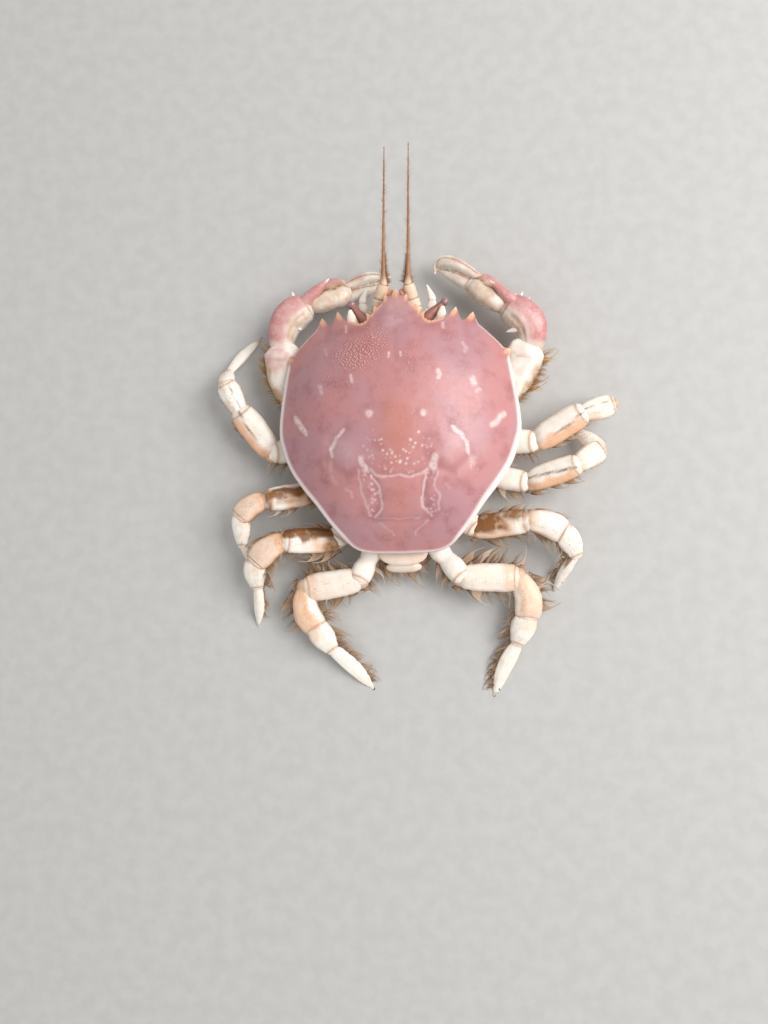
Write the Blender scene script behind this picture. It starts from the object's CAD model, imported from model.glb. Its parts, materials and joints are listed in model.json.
"""Looks of a life-size display model of the crab Pseudocorystes sicarius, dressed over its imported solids.

Every piece is worked out in the solids' own millimetres: X is the crab's right, Y runs forward to the
antennae, Z is up and the floor is Z = 0. X = 0 is the carapace's line of symmetry and Y = 0 its widest
line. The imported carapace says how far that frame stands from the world's.
"""
import itertools
import json
import math
import random

import bpy
import numpy as np
from bpy.props import FloatProperty, FloatVectorProperty, IntProperty, PointerProperty
from mathutils import Matrix, Vector

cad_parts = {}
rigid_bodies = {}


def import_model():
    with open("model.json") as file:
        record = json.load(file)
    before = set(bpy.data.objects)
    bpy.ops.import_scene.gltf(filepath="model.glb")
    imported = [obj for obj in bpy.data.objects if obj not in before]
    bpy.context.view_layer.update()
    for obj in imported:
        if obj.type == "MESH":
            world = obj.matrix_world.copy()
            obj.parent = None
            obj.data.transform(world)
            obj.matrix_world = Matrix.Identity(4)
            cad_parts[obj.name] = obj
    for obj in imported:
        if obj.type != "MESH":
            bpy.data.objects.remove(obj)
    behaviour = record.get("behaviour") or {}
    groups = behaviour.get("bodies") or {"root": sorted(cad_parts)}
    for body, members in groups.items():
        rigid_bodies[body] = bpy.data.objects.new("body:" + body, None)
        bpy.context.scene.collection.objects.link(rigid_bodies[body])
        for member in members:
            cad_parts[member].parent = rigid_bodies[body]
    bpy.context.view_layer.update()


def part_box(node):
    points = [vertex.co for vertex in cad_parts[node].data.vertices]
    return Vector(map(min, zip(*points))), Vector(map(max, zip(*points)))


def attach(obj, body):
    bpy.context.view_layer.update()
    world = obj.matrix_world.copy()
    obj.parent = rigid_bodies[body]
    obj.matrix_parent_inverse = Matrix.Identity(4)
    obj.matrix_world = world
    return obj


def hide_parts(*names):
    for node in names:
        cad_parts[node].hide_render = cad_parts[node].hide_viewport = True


bl_info = {
    "name": "Sand Crab Display Model",
    "version": (1, 0, 0),
    "blender": (4, 5, 0),
    "location": "View3D > Sidebar > Crab",
    "description": "Builds a still, life-size crab with shell relief, jointed legs and matted bristles",
    "category": "Add Mesh",
}

for leftover in list(bpy.data.objects):
    bpy.data.objects.remove(leftover)
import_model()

MM = 0.001
CARAPACE_LOW, CARAPACE_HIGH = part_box("carapace")
ROSTRUM_TIP_Y = 35.4
SEAM_Z = 8.0
SHIFT = Vector((
    (CARAPACE_LOW.x + CARAPACE_HIGH.x) / 2,
    CARAPACE_HIGH.y - ROSTRUM_TIP_Y * MM,
    CARAPACE_LOW.z - SEAM_Z * MM,
))
TO_WORLD = Matrix.Translation(SHIFT) @ Matrix.Scale(MM, 4)
SIDES = (("right", 1.0), ("left", -1.0))

# Carapace: the same dome as the solid's
HALF_WIDTH = 31.0
CROWN_Z = 25.5
CROWN_Y = 2.0
SIDE_DROP = 13.5
SIDE_POWER = 2.4
FRONT_DROP = 11.5
FRONT_RUN = 33.0
FRONT_POWER = 2.6
CORNER_DROP = 7.0
REAR_DROP = 13.5
REAR_RUN = 35.0
REAR_POWER = 2.3
# The half outline from the rostrum round the right side to the rear, x and y
OUTLINE = (
    (0, 32.6), (3.1, 30.8), (5.2, 28.2), (8.3, 24.7), (12.4, 26), (14.9, 26.8),
    (17, 25.9), (19.4, 26.1), (24, 22.4), (27.9, 18), (29.4, 11.5), (31, 0), (30.1, -5.5),
    (28.1, -10.8), (24.8, -15.8), (21.4, -20.1), (18.1, -24.7), (14.8, -28.6),
    (11.9, -31.3), (7.9, -32.5), (0, -32.8),
)
# Teeth of the front and side margin: root x, y, then tip x, y, and root width
MARGIN_TEETH = (
    (0, 32.6, -0.2, 35.6, 3.8),
    (2.4, 31.2, 2.8, 33.5, 2.3), (4.9, 28.3, 5.5, 29.9, 1.7), (6.6, 26.4, 7.4, 27.6, 1.5),
    (14.4, 26.8, 15.3, 30.2, 3.4), (19.2, 26.2, 19.7, 29.2, 3.4), (27.2, 17.4, 29, 19.4, 2.8),
)
# Saw edge between the rostrum and the orbit's outer corner
SAW_FROM = (3.2, 30.8)
SAW_TO = (12.4, 26)
SAW_HEIGHT = 0.34
SAW_PITCH = 0.95
# Spacing of the columns round the front and round the rest, and rings from crown to margin
FRONT_ARC = 43.0
FRONT_SPACING = 0.25
REAR_SPACING = 0.52
DOME_RINGS = 118
WALL_RINGS = 18
EDGE_DROP = 0.32
# The side wall under the rim: share of the drop to the seam, then how far in at the side and front
SIDE_WALL = ((0, 0.15, 0.2), (0.12, 0.3, 0.5), (0.5, 2.6, 2.8), (0.9, 6.2, 6), (1, 7.6, 7.2))
ORBIT_LOBE = ((11, 23.6, 12.6), (11.5, 27.2, 14), (11.9, 30, 14.4))
ORBIT_LOBE_SIZE = (2.7, 1.7)
ORBIT_LOBE_SHAPE = ((0, 0.9), (0.35, 1), (0.6, 0.92), (0.8, 0.66), (0.95, 0.36))

# Pale marks of the carapace: points, half width, strength and height
PALE_MARKS = (
    (((-6.6, 0.9), (-6.5, 0.8)), 0.95, 1, 0.05),
    (((6.4, 0.7), (6.5, 0.7)), 0.95, 1, 0.05),
    (((-26, 1.8), (-25, 0.2), (-23, -2.4)), 0.75, 0.95, 0.05),
    (((23.2, -1.8), (26.4, 1.4)), 0.85, 0.95, 0.05),
    (((-13.1, -2.8), (-15, -4.4), (-16.4, -7.2), (-16.2, -8.8)), 0.5, 0.95, 0.06),
    (((13.2, -2.8), (15.4, -4.2), (17, -6.4), (16.9, -8.6)), 0.55, 1, 0.06),
    (((-8.9, -9.8), (-8.6, -11), (-7.8, -12.4)), 0.85, 0.8, 0.16),
    (((9.2, -9.9), (8.9, -11), (8.5, -12.2)), 0.95, 0.85, 0.16),
    (((-10.9, 10.6), (-10.6, 9.2)), 0.55, 0.65, 0.03),
    (((10.3, 11.2), (10.6, 10), (10.4, 9.2)), 0.6, 0.85, 0.03),
    (((-1.6, 15.9), (-1.5, 14.9)), 0.36, 0.75, 0.03),
    (((1.1, 15.8), (1.2, 15)), 0.36, 0.75, 0.03),
    (((-18.9, 9), (-18.6, 7.4)), 0.75, 0.5, 0.03),
    (((18.8, 9.4), (18.9, 8.2)), 0.9, 0.75, 0.03),
    (((19.6, 6.2), (20.2, 6.9)), 0.45, 0.6, 0.03),
    (((-17.7, 18.7), (-17.3, 16.8)), 0.5, 0.28, 0.02),
    (((16.7, 19), (17.3, 17.6), (17, 16.4)), 0.6, 0.42, 0.02),
    (((12.1, 24.4), (11.9, 22.9)), 0.5, 0.6, 0.02),
    (((-12.4, 24.6), (-12.4, 22.8)), 0.5, 0.5, 0.02),
    (((0, 30), (0.2, 25)), 3.2, 0.22, 0),
    (((-15, -6), (-12.8, -8.6)), 3.6, 0.2, 0),
    (((15.2, -6), (13, -8.6)), 3.4, 0.16, 0),
    (((-16.6, -9.8), (-17, -12.6), (-15.8, -15.2)), 0.7, 0.22, 0),
    (((17.9, -9.4), (18.2, -11.4)), 0.9, 0.32, 0),
)
# Thin pale lines round the heart: points, half width and strength
PALE_LINES = (
    (((-6.6, -13.6), (-5, -16.4), (-4.3, -19.4), (-4.4, -21.8), (-6.4, -23.9)), 0.28, 0.8),
    (((-9.6, -12.6), (-9.4, -15.4), (-9, -18.4), (-7.2, -23.6)), 0.24, 0.45),
    (((6.8, -13.4), (6.1, -16), (5.6, -20), (5.6, -21.4), (7.9, -23.6)), 0.28, 0.8),
    (((9.6, -13.2), (8.7, -16.6), (10.1, -19), (9.4, -22.4)), 0.26, 0.5),
    (((-6.8, -12.2), (-5, -13.9), (-2.4, -14.3), (0.4, -13.8), (3.2, -14.4), (5.6, -13.8), (7.2, -12.6)),
     0.32, 0.7),
    (((-5.9, -24.1), (-3, -24), (0, -24.3), (3, -24), (5, -24.1)), 0.2, 0.32),
    (((-5.2, -25.2), (-3.1, -27), (-1.9, -27.4), (-1.9, -28.2)), 0.2, 0.4),
    (((7, -25), (4.8, -26.2), (3.7, -27.4), (3.6, -28.2)), 0.2, 0.4),
    (((-13, -16.6), (-11.6, -17.6), (-11.4, -19)), 0.4, 0.3),
    (((11.4, -16.2), (12.4, -17.2)), 0.3, 0.25),
)
# Patches of fine pale dots: points of a band, half width and strength
DOT_BANDS = (
    (((-6.2, -4.2), (-4.4, -5.8), (-2.6, -7.6), (-0.6, -11.6)), 1.3, 1),
    (((-8.4, -5), (-7.2, -8), (-5.2, -11), (-2, -13)), 0.9, 0.45),
    (((5.9, -4.2), (4.6, -5.6), (2.6, -7.4), (0.9, -11.6)), 1.3, 1),
    (((6.4, -3.6), (6.2, -6.4), (5, -10.2), (2.8, -13)), 1, 0.6),
    (((8.6, -4.4), (7.6, -7.8), (6.6, -10.8)), 0.6, 0.4),
    (((-7.4, -14), (-6.4, -17.6), (-6.6, -22.6)), 1.4, 0.55),
    (((7.8, -14), (7.2, -18), (7.8, -22.6)), 1.4, 0.5),
    (((17.4, -9.6), (18.4, -12.4)), 1.3, 0.5),
)
# Grooves and swellings of the regions: points, half width and height
REGIONS = (
    (((0, 31), (0, 22), (0, 14)), 0.9, -0.12),
    (((-2.6, 30), (-3, 22)), 1.6, 0.14),
    (((2.6, 30), (3, 22)), 1.6, 0.14),
    (((-6.4, 24.4), (-10.4, 22.8), (-13.6, 23.6)), 1.5, 0.22),
    (((6.4, 24.4), (10.4, 22.8), (13.6, 23.6)), 1.5, 0.22),
    (((-17.2, 26), (-17.6, 21)), 1.3, -0.2),
    (((17.2, 26), (17.6, 21)), 1.3, -0.2),
    (((-12.4, -2), (-16, -5), (-17.2, -9.4), (-13, -13.4), (-8.6, -11.2)), 1.5, -0.26),
    (((12.4, -2), (16.4, -5), (17.6, -9.4), (13, -13.4), (8.8, -11.4)), 1.5, -0.26),
    (((-8.4, -12), (-5.6, -15), (-4.8, -20), (-6.8, -24.4)), 1.2, -0.34),
    (((8.4, -12), (6.4, -15), (6, -20), (7.6, -24.4)), 1.2, -0.34),
    (((-7, -13.2), (0, -14.2), (7.2, -13.2)), 1, -0.18),
    (((-6, -24.4), (0, -24.6), (6.4, -24.4)), 0.9, -0.2),
    (((0, -17), (0, -22)), 4.2, 0.34),
    (((-12, -17), (-12.6, -21)), 4.6, 0.26),
    (((12.6, -17), (12.8, -21)), 4.6, 0.26),
    (((-12.6, -6), (-11, -9.6)), 3.4, 0.3),
    (((13, -6.4), (11.4, -9.6)), 3.4, 0.3),
    (((0, 2), (0, -8)), 5.5, 0.3),
    (((-9.5, 14), (-5.5, 17)), 4.5, 0.28),
    (((9.5, 14), (5.5, 17)), 4.5, 0.28),
    (((-21, 12), (-21.5, 4)), 5, 0.3),
    (((21, 12), (21.5, 4)), 5, 0.3),
)
LUMP_HEIGHT = 0.10
LUMP_SIZE = 7.0

# Body under the carapace: y, half width at the top, half width of the sternum, lowest z
THORAX_ROWS = (
    (26, 7, 4.6, 5), (21.5, 13.8, 8.6, 3.4), (14, 19.6, 10.6, 1.8), (5, 22, 11.6, 0.8),
    (-5, 21.6, 11.8, 0.6), (-14, 17.6, 11.4, 0.6), (-22, 12.6, 9.6, 0.8),
    (-28, 9, 7.6, 1.2), (-31.6, 6.8, 5.6, 2.2),
)
THORAX_TOP = 7.7

# Limbs: rows of fraction of the path and width scale
SEGMENT_SHAPE = ((0.03, 0.56), (0.12, 0.82), (0.34, 0.98), (0.64, 1), (0.88, 0.92), (0.98, 0.66))
CLUB_SHAPE = ((0.03, 0.46), (0.14, 0.72), (0.38, 0.96), (0.68, 1.06), (0.9, 0.92), (0.985, 0.6))
COXA_SHAPE = (
    (0.03, 0.7), (0.16, 0.92), (0.36, 1), (0.47, 0.88), (0.52, 0.82), (0.58, 0.9), (0.72, 1.04), (0.9, 0.98),
    (0.98, 0.72),
)
TAPER_SHAPE = (
    (0.03, 0.66), (0.12, 0.94), (0.32, 1.05), (0.55, 0.97), (0.78, 0.74), (0.92, 0.6), (0.98, 0.48),
)
ARM_SHAPE = ((0.03, 0.6), (0.14, 0.82), (0.4, 0.96), (0.7, 1.05), (0.84, 1.09), (0.94, 1), (0.985, 0.8))
PALM_SHAPE = ((0.03, 0.5), (0.12, 0.78), (0.34, 0.98), (0.62, 1.02), (0.82, 0.9), (0.96, 0.62))
THUMB_SHAPE = ((0.03, 0.8), (0.16, 1), (0.36, 0.96), (0.6, 0.7), (0.82, 0.42), (0.96, 0.2))
BLADE_SHAPE = ((0.03, 0.55), (0.16, 0.86), (0.38, 1), (0.62, 0.84), (0.84, 0.48), (0.96, 0.2))
LEG_SHAPES = {
    "coxa": COXA_SHAPE,
    "merus": SEGMENT_SHAPE,
    "carpus": CLUB_SHAPE,
    "propodus": TAPER_SHAPE,
    "dactylus": BLADE_SHAPE,
}
# How far a segment's root sinks into the one before it, and how far its end reaches past the joint
ROOT_SINK = 1.3
END_REACH = 0.8
# How the ends of a limb are rounded, as shares of its length
START_ROUND = 0.045
LIP = 0.03
CUP_DEPTH = 0.07
CUP_EDGE = 0.84
TIP_ROUND = 0.012
BLUNT_ROUND = 0.05
# Soft edges of a limb's colour patches: share of its length, and degrees round it
PATCH_FADE = 0.09
PATCH_TURN = 16.0
# Bristles lie on the floor, and none goes below this height
FLOOR_REST = 0.05
LEG_SEGMENTS = ("merus", "carpus", "propodus", "dactylus")
# Tiles of a leg's unwrap: one for each of these segments and one for the coxa
LEG_TILES = 5
# Walking legs, front pair first: lengths, widths and thicknesses of the four long segments
LEG_SIZES = {
    "leg_1": ((13.8, 7.2, 4.6), (8.2, 5.6, 4.2), (6.5, 4.2, 3.2), (13.8, 2.8, 1.9)),
    "leg_2": ((13.4, 6.4, 4.4), (8.2, 5.8, 4.2), (7.8, 4.6, 3.2), (11.8, 2.6, 1.9)),
    "leg_3": ((13.6, 6.6, 4.6), (9.8, 6.6, 4.6), (6.7, 5.8, 3.8), (12.6, 2.9, 2)),
    "leg_4": ((14.2, 7.4, 4.6), (10.8, 6.8, 4.6), (6.9, 6.2, 4), (15.8, 4.2, 2.2)),
}
COXA_SIZES = {"leg_1": (6.2, 4.8), "leg_2": (5.8, 4.6), "leg_3": (5.8, 4.6), "leg_4": (5.6, 5.0)}
# Where each coxa leaves the right side of the thorax
LEG_ROOTS = {
    "leg_1": (13, -3, 4.4), "leg_2": (12.4, -10.8, 4.4),
    "leg_3": (10.6, -18.8, 4.6), "leg_4": (6.6, -28.6, 5.4),
}
# The pose: where each coxa ends, then azimuth, pitch and sideways bow of each segment.
# The last segment has no pitch of its own, because it slopes down until its tip meets the floor.
LEG_POSES = {
    ("leg_1", "right"): ((35.1, -4.5, 6), ((30, 11, 0), (16, -13, 0), (-176, -42, 0), (-164, None, 0))),
    ("leg_1", "left"): ((-34.2, -5.2, 6.4), ((126, 6, 0), (117, 6, 0), (94, -48, 0), (51, None, 0.4))),
    ("leg_2", "right"): ((32.5, -14.9, 6), ((17, 13, 0), (33, -23, 0), (134, -24, 0), (177, None, 0))),
    ("leg_2", "left"): ((-22.9, -16, 5.6), (
        (-170, 22, 0), (-150, -8, -0.9), (-93, -24, 0), (-74, None, 0.6))),
    ("leg_3", "right"): ((18.7, -26.5, 6), (
        (6, 11, 0), (-20, -5, 0.9), (-61, -17, 0.4), (-119, None, -0.4))),
    ("leg_3", "left"): ((-17.4, -28.8, 6), (
        (180, 15, 0), (-146, -7, -0.9), (-91, -24, -0.4), (-97, None, 0.4))),
    ("leg_4", "right"): ((15, -39.1, 6), ((-2, -2, 0), (-79, -6, 1.6), (-111, -11, 0), (-114, None, -0.5))),
    ("leg_4", "left"): ((-11.8, -39.3, 6), (
        (-172, -2, 0), (-76, -5, -1.5), (-57, -11, 0), (-46, None, 0.5))),
}
TIP_Z = -0.25

# Chelipeds: each segment's path runs through a joint, a middle point and the next joint
ARM_ROOT = (12, 5.6, 4.8)
ARM_SIZE = (9.2, 7.4)
WRIST_SIZE = (8.4, 7.8)
HAND_SIZE = (8.8, 5.6)
FINGER_SIZE = (3.1, 2.9)
THUMB_SIZE = (4.4, 3.6)
WRIST_SINK = 1.6
CLAW_POSES = {
    "right": {
        "arm": ((23, 6.6, 5.4), (29.6, 11.8, 6.3), (34.4, 21, 7.2)),
        "wrist": ((34.8, 19.6, 7.4), (34.2, 26.2, 8.2), (28.2, 31.6, 8)),
        "palm": ((27.6, 32, 8), (24, 35.2, 7.4), (19.6, 38.6, 6.6)),
        "thumb": ((22.8, 36, 6.4), (15.6, 40.4, 5.6), (10, 43.4, 4.6)),
        "finger": ((22, 39, 7.5), (16.6, 42.9, 7.3), (12.5, 44.5, 6.5), (10.5, 43.8, 5.7), (10, 41.6, 5.1)),
        "spine": ((30.2, 31.6, 9.9), (24.2, 36.9, 11.5)),
    },
    "left": {
        "arm": ((-23.4, 7, 5.4), (-29.4, 12.8, 6.3), (-31.2, 23.2, 7.2)),
        "wrist": ((-31.4, 21.8, 7.4), (-29.6, 29.2, 8.2), (-23.4, 34, 8)),
        "palm": ((-22.6, 34.4, 8), (-17.8, 36.4, 7.4), (-12.6, 38, 6.6)),
        "thumb": ((-16.6, 35.8, 6.4), (-8.6, 37.9, 5.6), (-2.4, 39.9, 4.6)),
        "finger": ((-13.4, 38.8, 7.5), (-7.6, 40.8, 7), (-1.8, 41.2, 5.4)),
        "spine": ((-23.6, 34.6, 10), (-17.5, 39.4, 11.6)),
    },
}
# Spines of the wrist: fraction of the path, edge (1 outer, -1 inner), length past the edge and width
WRIST_SPINES = {
    "right": ((0.52, -1, 2.2, 1.7), (0.74, 1, 0.5, 0.9), (0.86, 1, 1, 1.2), (0.95, 1, 0.5, 0.9)),
    "left": ((0.52, -1, 0.6, 1.3), (0.66, 1, 0.4, 0.8), (0.84, 1, 1.2, 1.2)),
}

# Head
EYE_PATHS = {
    "right": ((6.4, 26.4, 11.6), (9.8, 29.4, 12.6), (12.9, 31.8, 13.2)),
    "left": ((-7, 25.8, 11.6), (-9.6, 29.2, 12.6), (-12, 32.2, 13.2)),
}
EYE_SHAPE = ((0, 1.3), (0.2, 1.34), (0.45, 1.08), (0.68, 0.8), (0.85, 0.74), (0.97, 0.62))
CORNEA_PLACE = 0.92
CORNEA_SIZE = (2.2, 2.2, 2.2)
EYE_WIDTH = 2.3
ANTENNA_PATHS = {
    "right": (
        (4.8, 29.4, 9.8), (4.2, 32.4, 10.8), (3.1, 36.5, 13.2), (3.5, 42.5, 16.8), (4.7, 65, 31),
    ),
    "left": (
        (-5.2, 29.6, 9.8), (-4.5, 32.6, 10.8), (-3.1, 36.6, 13.2), (-2.8, 42.5, 16.8), (-1.1, 64.1, 31),
    ),
}
ANTENNA_BASE_WIDTH = 3.9
ANTENNA_BASE_SHAPE = ((0.03, 0.76), (0.22, 1), (0.5, 0.98), (0.7, 0.9), (0.85, 0.88), (0.97, 0.78))
FLAGELLUM_WIDTH = 1.5
FLAGELLUM_SINK = 0.6
FLAGELLUM_SHAPE = (
    (0.02, 1.2), (0.07, 1.36), (0.15, 1.16), (0.3, 0.86), (0.5, 0.62), (0.75, 0.38), (0.97, 0.18),
)
EPISTOME_PATH = ((-8.6, 24.4, 10.4), (0, 28, 10.6), (8.6, 24.4, 10.4))
EPISTOME_SIZE = (6.4, 3.9)
ANTENNULE_PATH = ((1.6, 27.6, 11.6), (1.8, 32.6, 12.6), (1.3, 35.6, 12.2))
ANTENNULE_SIZE = (1.5, 1.4)
MAXILLIPED_PLATE = ((4.1, 9, 2.7), (4.6, 19, 4.7), (6.2, 30.2, 6.8))
MAXILLIPED_SIZE = (5.8, 2.4)
PALP_PATH = ((6.4, 28.6, 7.2), (9.2, 33, 7.8), (7.9, 37.6, 9))
PALP_SIZE = (2.4, 1.6)

# Bristles matted into flat locks: edge (1 rear or inner, -1 front or outer), first and last
# fraction, count, length, width, and sweep in degrees towards the segment's end
FRINGES = {
    "leg_1": {"coxa": ((1, 0.62, 0.92, 3, 3.4, 2.8, 20),), "merus": ((1, 0.24, 0.84, 3, 1.5, 3.2, 50),)},
    "leg_2": {
        "coxa": ((1, 0.66, 0.92, 2, 2.6, 2.8, 10),),
        "merus": ((1, 0.12, 0.84, 4, 1.6, 3.2, 40),),
    },
    "leg_3": {
        "merus": ((1, 0.15, 0.88, 4, 3.2, 4, 32), (-1, 0.15, 0.88, 4, 1.6, 3.4, 50)),
        "carpus": ((1, 0.35, 0.9, 3, 3.4, 2.6, 25), (-1, 0.15, 0.7, 2, 1.4, 3.2, 55)),
        "propodus": ((1, 0.3, 0.85, 2, 3, 2.4, 45),),
        "dactylus": ((1, 0.1, 0.66, 4, 1.7, 2.4, 36),),
    },
    "leg_4": {
        "coxa": ((1, 0.5, 0.9, 2, 4.2, 2.4, 25),),
        "merus": ((1, 0.12, 0.66, 3, 4, 4, 12), (-1, 0.14, 0.88, 4, 5, 4, 18)),
        "carpus": ((1, 0.45, 0.9, 2, 4.4, 2.6, 25), (-1, 0.14, 0.62, 3, 4.6, 3.6, 12)),
        "propodus": ((1, 0.3, 0.92, 3, 3.6, 2.4, 40),),
        "dactylus": ((1, 0.1, 0.84, 6, 2.3, 2.8, 34),),
    },
}
# Locks that hang behind the abdomen: root, tip and width
TAIL_LOCKS = (
    ((-2.4, -35.4, 5), (-1.2, -41.4, 2.6), 3.2), ((3.4, -35.2, 5.2), (5.2, -42, 2.4), 3.6),
    ((-4.6, -33.6, 5.4), (-5, -39.2, 3), 3.4), ((0.6, -35.6, 4.6), (1.4, -39.4, 2.6), 3),
    ((-5.4, -32.4, 5.2), (-8.2, -38, 3.2), 3), ((5.4, -32.6, 5.4), (7.6, -38.4, 3.2), 3.2),
)
ARM_FRINGE = ((1, 0.6, 0.94, 5, 3.2, 2.8, 25),)
LOCK_ROOT = 0.55
LOCK_HIDDEN = 0.45
LOCK_LEAN_SPREAD = 10
LOCK_LENGTH_SPREAD = (0.85, 1.15)
LOCK_ROOT_HEIGHT = (-0.3, 0.2)
LOCK_CURL = (0.1, 0.4)
LOCK_DROOP = (-0.22, -0.05)
LOCK_SEED = 7
# A bristle's width as a share of its length before it is scaled, and the lowest tip of a bristle
STRAND_SHARE = 0.04
LOWEST_TIP = 0.15
# Single bristles: faces they grow on, first and last place, count, length, width and sweep
HAIRY_SEGMENTS = ("merus", "carpus", "propodus")
LEG_HAIRS = ((0, 0, 0, 180, 84), 0.1, 0.92, 130, 0.9, 0.06, 48)
ARM_HAIRS = ((6, 14), 0.36, 0.92, 240, 2, 0.1, 30)
LASH_HAIRS = (((180,), 0.03, 0.5, 620, 1.1, 0.1, 62), ((0, 180), 0.03, 0.93, 380, 1.2, 0.06, 52))
# Inputs of the bristles' tree for single strands, and for the curved webs of a lock
STRAND_INPUTS = {"Joints": 7, "Sides": 3, "Bend": 0.5, "Taper": 0.5}
WEB_INPUTS = {"Joints": 17, "Sides": 8, "Bend": 0.043, "Taper": 2.35}
# First corner and size of the part of the unwrap that bake patches lie in
BAKE_CORNER = (0.01, 0.02)
BAKE_SPAN = (0.97, 0.95)

# Abdomen folded under the body: the middle line and the width and height scales along it
ABDOMEN_PATH = (
    (0, -31.6, 8), (0, -34.4, 7.6), (0, -36.2, 5), (0, -35, 2),
    (0, -30, 1.15), (0, -18, 1.15), (0, -5, 1.15),
)
ABDOMEN_SHAPE = (
    (0.01, 1.1, 0.7), (0.06, 1.1, 0.9), (0.12, 1.02, 1), (0.17, 0.86, 1), (0.205, 0.64, 0.9),
    (0.225, 0.58, 0.8), (0.25, 0.72, 0.9), (0.3, 0.8, 1), (0.38, 0.74, 1), (0.48, 0.7, 1),
    (0.6, 0.92, 1), (0.7, 0.92, 1), (0.78, 0.74, 1), (0.87, 0.54, 1), (0.95, 0.34, 0.9),
)
ABDOMEN_SIZE = (11.6, 2.5)
# Where each somite of the abdomen ends, as a share of its path
SOMITE_ENDS = (0, 0.22, 0.4, 0.53, 0.65, 0.76, 0.88, 1)

# Strength of the soft light, then the floor's half width, and each light's width and place, in metres
SKY_STRENGTH = 0.62
FLOOR_REACH = 3.0
LIGHTS = {"key": (0.6, (0.52, 0.12, 0.56)), "fill": (0.9, (-0.3, -0.6, 0.65))}
# The photograph's camera: lens, place in the crab's frame, and its right, up and back directions
CAMERA_LENS = 29.18
CAMERA_PLACE = (11.0328, -36.541, 222.2564)
CAMERA_AXES = (
    (0.996959, -0.021894, -0.074786), (0.026903, 0.997414, 0.06664), (0.073134, -0.068449, 0.99497),
)


def srgb(text):
    """An sRGB hex colour as linear red, green, blue and alpha."""
    channels = []
    for start in (1, 3, 5):
        value = int(text[start:start + 2], 16) / 255
        channels.append(value / 12.92 if value <= 0.04045 else ((value + 0.055) / 1.055) ** 2.4)
    return (*channels, 1)


def step(low, high, value):
    """A smooth step from 0 at low to 1 at high."""
    t = np.clip((value - low) / (high - low), 0, 1)
    return t * t * (3 - 2 * t)


def mirrored(points):
    """The same points on the crab's left side."""
    return tuple((-x, y, z) for x, y, z in points)


def smooth_curve(rows, column):
    """A function through one column of rows whose first number is the place, without overshoot."""
    places = np.array([row[0] for row in rows], float)
    values = np.array([row[column] for row in rows], float)
    steps = np.diff(places)
    rises = np.diff(values) / steps
    slopes = np.zeros(len(values))
    product = rises[:-1] * rises[1:]
    total = rises[:-1] + rises[1:]
    same = product > 0
    slopes[1:-1][same] = 2 * product[same] / total[same]
    slopes[0] = rises[0]
    slopes[-1] = rises[-1]

    def at(x):
        x = np.clip(x, places[0], places[-1])
        index = np.clip(np.searchsorted(places, x) - 1, 0, len(steps) - 1)
        t = (x - places[index]) / steps[index]
        square = t * t
        cube = square * t
        sloped = slopes[index] * (cube - 2 * square + t) + slopes[index + 1] * (cube - square)
        return (values[index] * (2 * cube - 3 * square + 1) + values[index + 1] * (3 * square - 2 * cube)
                + steps[index] * sloped)

    return at


def path_points(knots, fractions):
    """Points of the smooth curve through the knots, straight beyond its ends."""
    knots = np.asarray(knots, float)
    count = len(knots) - 1
    scaled = np.asarray(fractions, float) * count
    index = np.clip(np.floor(scaled).astype(int), 0, count - 1)
    t = (scaled - index)[:, None]
    here = knots[index]
    after = knots[index + 1]
    before = np.where((index > 0)[:, None], knots[np.maximum(index - 1, 0)], 2 * here - after)
    beyond = np.where((index + 2 <= count)[:, None], knots[np.minimum(index + 2, count)], 2 * after - here)
    slope_in = (after - before) * 0.5
    slope_out = (beyond - here) * 0.5
    square = t * t
    cube = square * t
    inside = (here * (2 * cube - 3 * square + 1) + slope_in * (cube - 2 * square + t)
              + after * (3 * square - 2 * cube) + slope_out * (cube - square))
    early = here + slope_in * t
    late = after + slope_out * (t - 1)
    return np.where(t < 0, early, np.where(t > 1, late, inside))


def unit(vectors):
    """Vectors of length one."""
    return vectors / np.maximum(np.linalg.norm(vectors, axis=-1, keepdims=True), 1e-9)


def path_frames(knots, fractions, up=(0, 0, 1), across=None):
    """Points of a path, with the directions along, across and above it at each."""
    fractions = np.asarray(fractions, float)
    small = 0.01
    along = unit(path_points(knots, fractions + small) - path_points(knots, fractions - small))
    if across is None:
        wide = unit(np.cross(along, np.asarray(up, float)))
    else:
        wide = np.broadcast_to(np.asarray(across, float), along.shape)
    above = unit(np.cross(wide, along))
    return path_points(knots, fractions), along, wide, above


def path_length(knots):
    """Length of a path from 0 to 1."""
    marks = path_points(knots, np.linspace(0, 1, 40))
    return float(np.linalg.norm(np.diff(marks, axis=0), axis=1).sum())


def lattice_noise(points, size, seed):
    """Smooth noise from -1 to 1 whose lumps are about as wide as size."""
    cell = np.asarray(points, float) / size
    base = np.floor(cell).astype(np.int64)
    part = cell - base
    part = part * part * (3 - 2 * part)
    total = np.zeros(cell.shape[:-1])
    for corner in itertools.product((0, 1), repeat=3):
        spot = base + np.array(corner)
        mixed = spot[..., 0] * 73856093 ^ spot[..., 1] * 19349663 ^ spot[..., 2] * 83492791
        mixed = mixed ^ seed * 2654435761
        mixed = (mixed ^ (mixed >> 13)) * 1274126177 & 0xFFFFFFFF
        value = ((mixed ^ (mixed >> 16)) & 0xFFFF) / 65535
        weight = np.prod(np.where(np.array(corner) == 1, part, 1 - part), axis=-1)
        total += weight * value
    return total * 2 - 1


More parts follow.
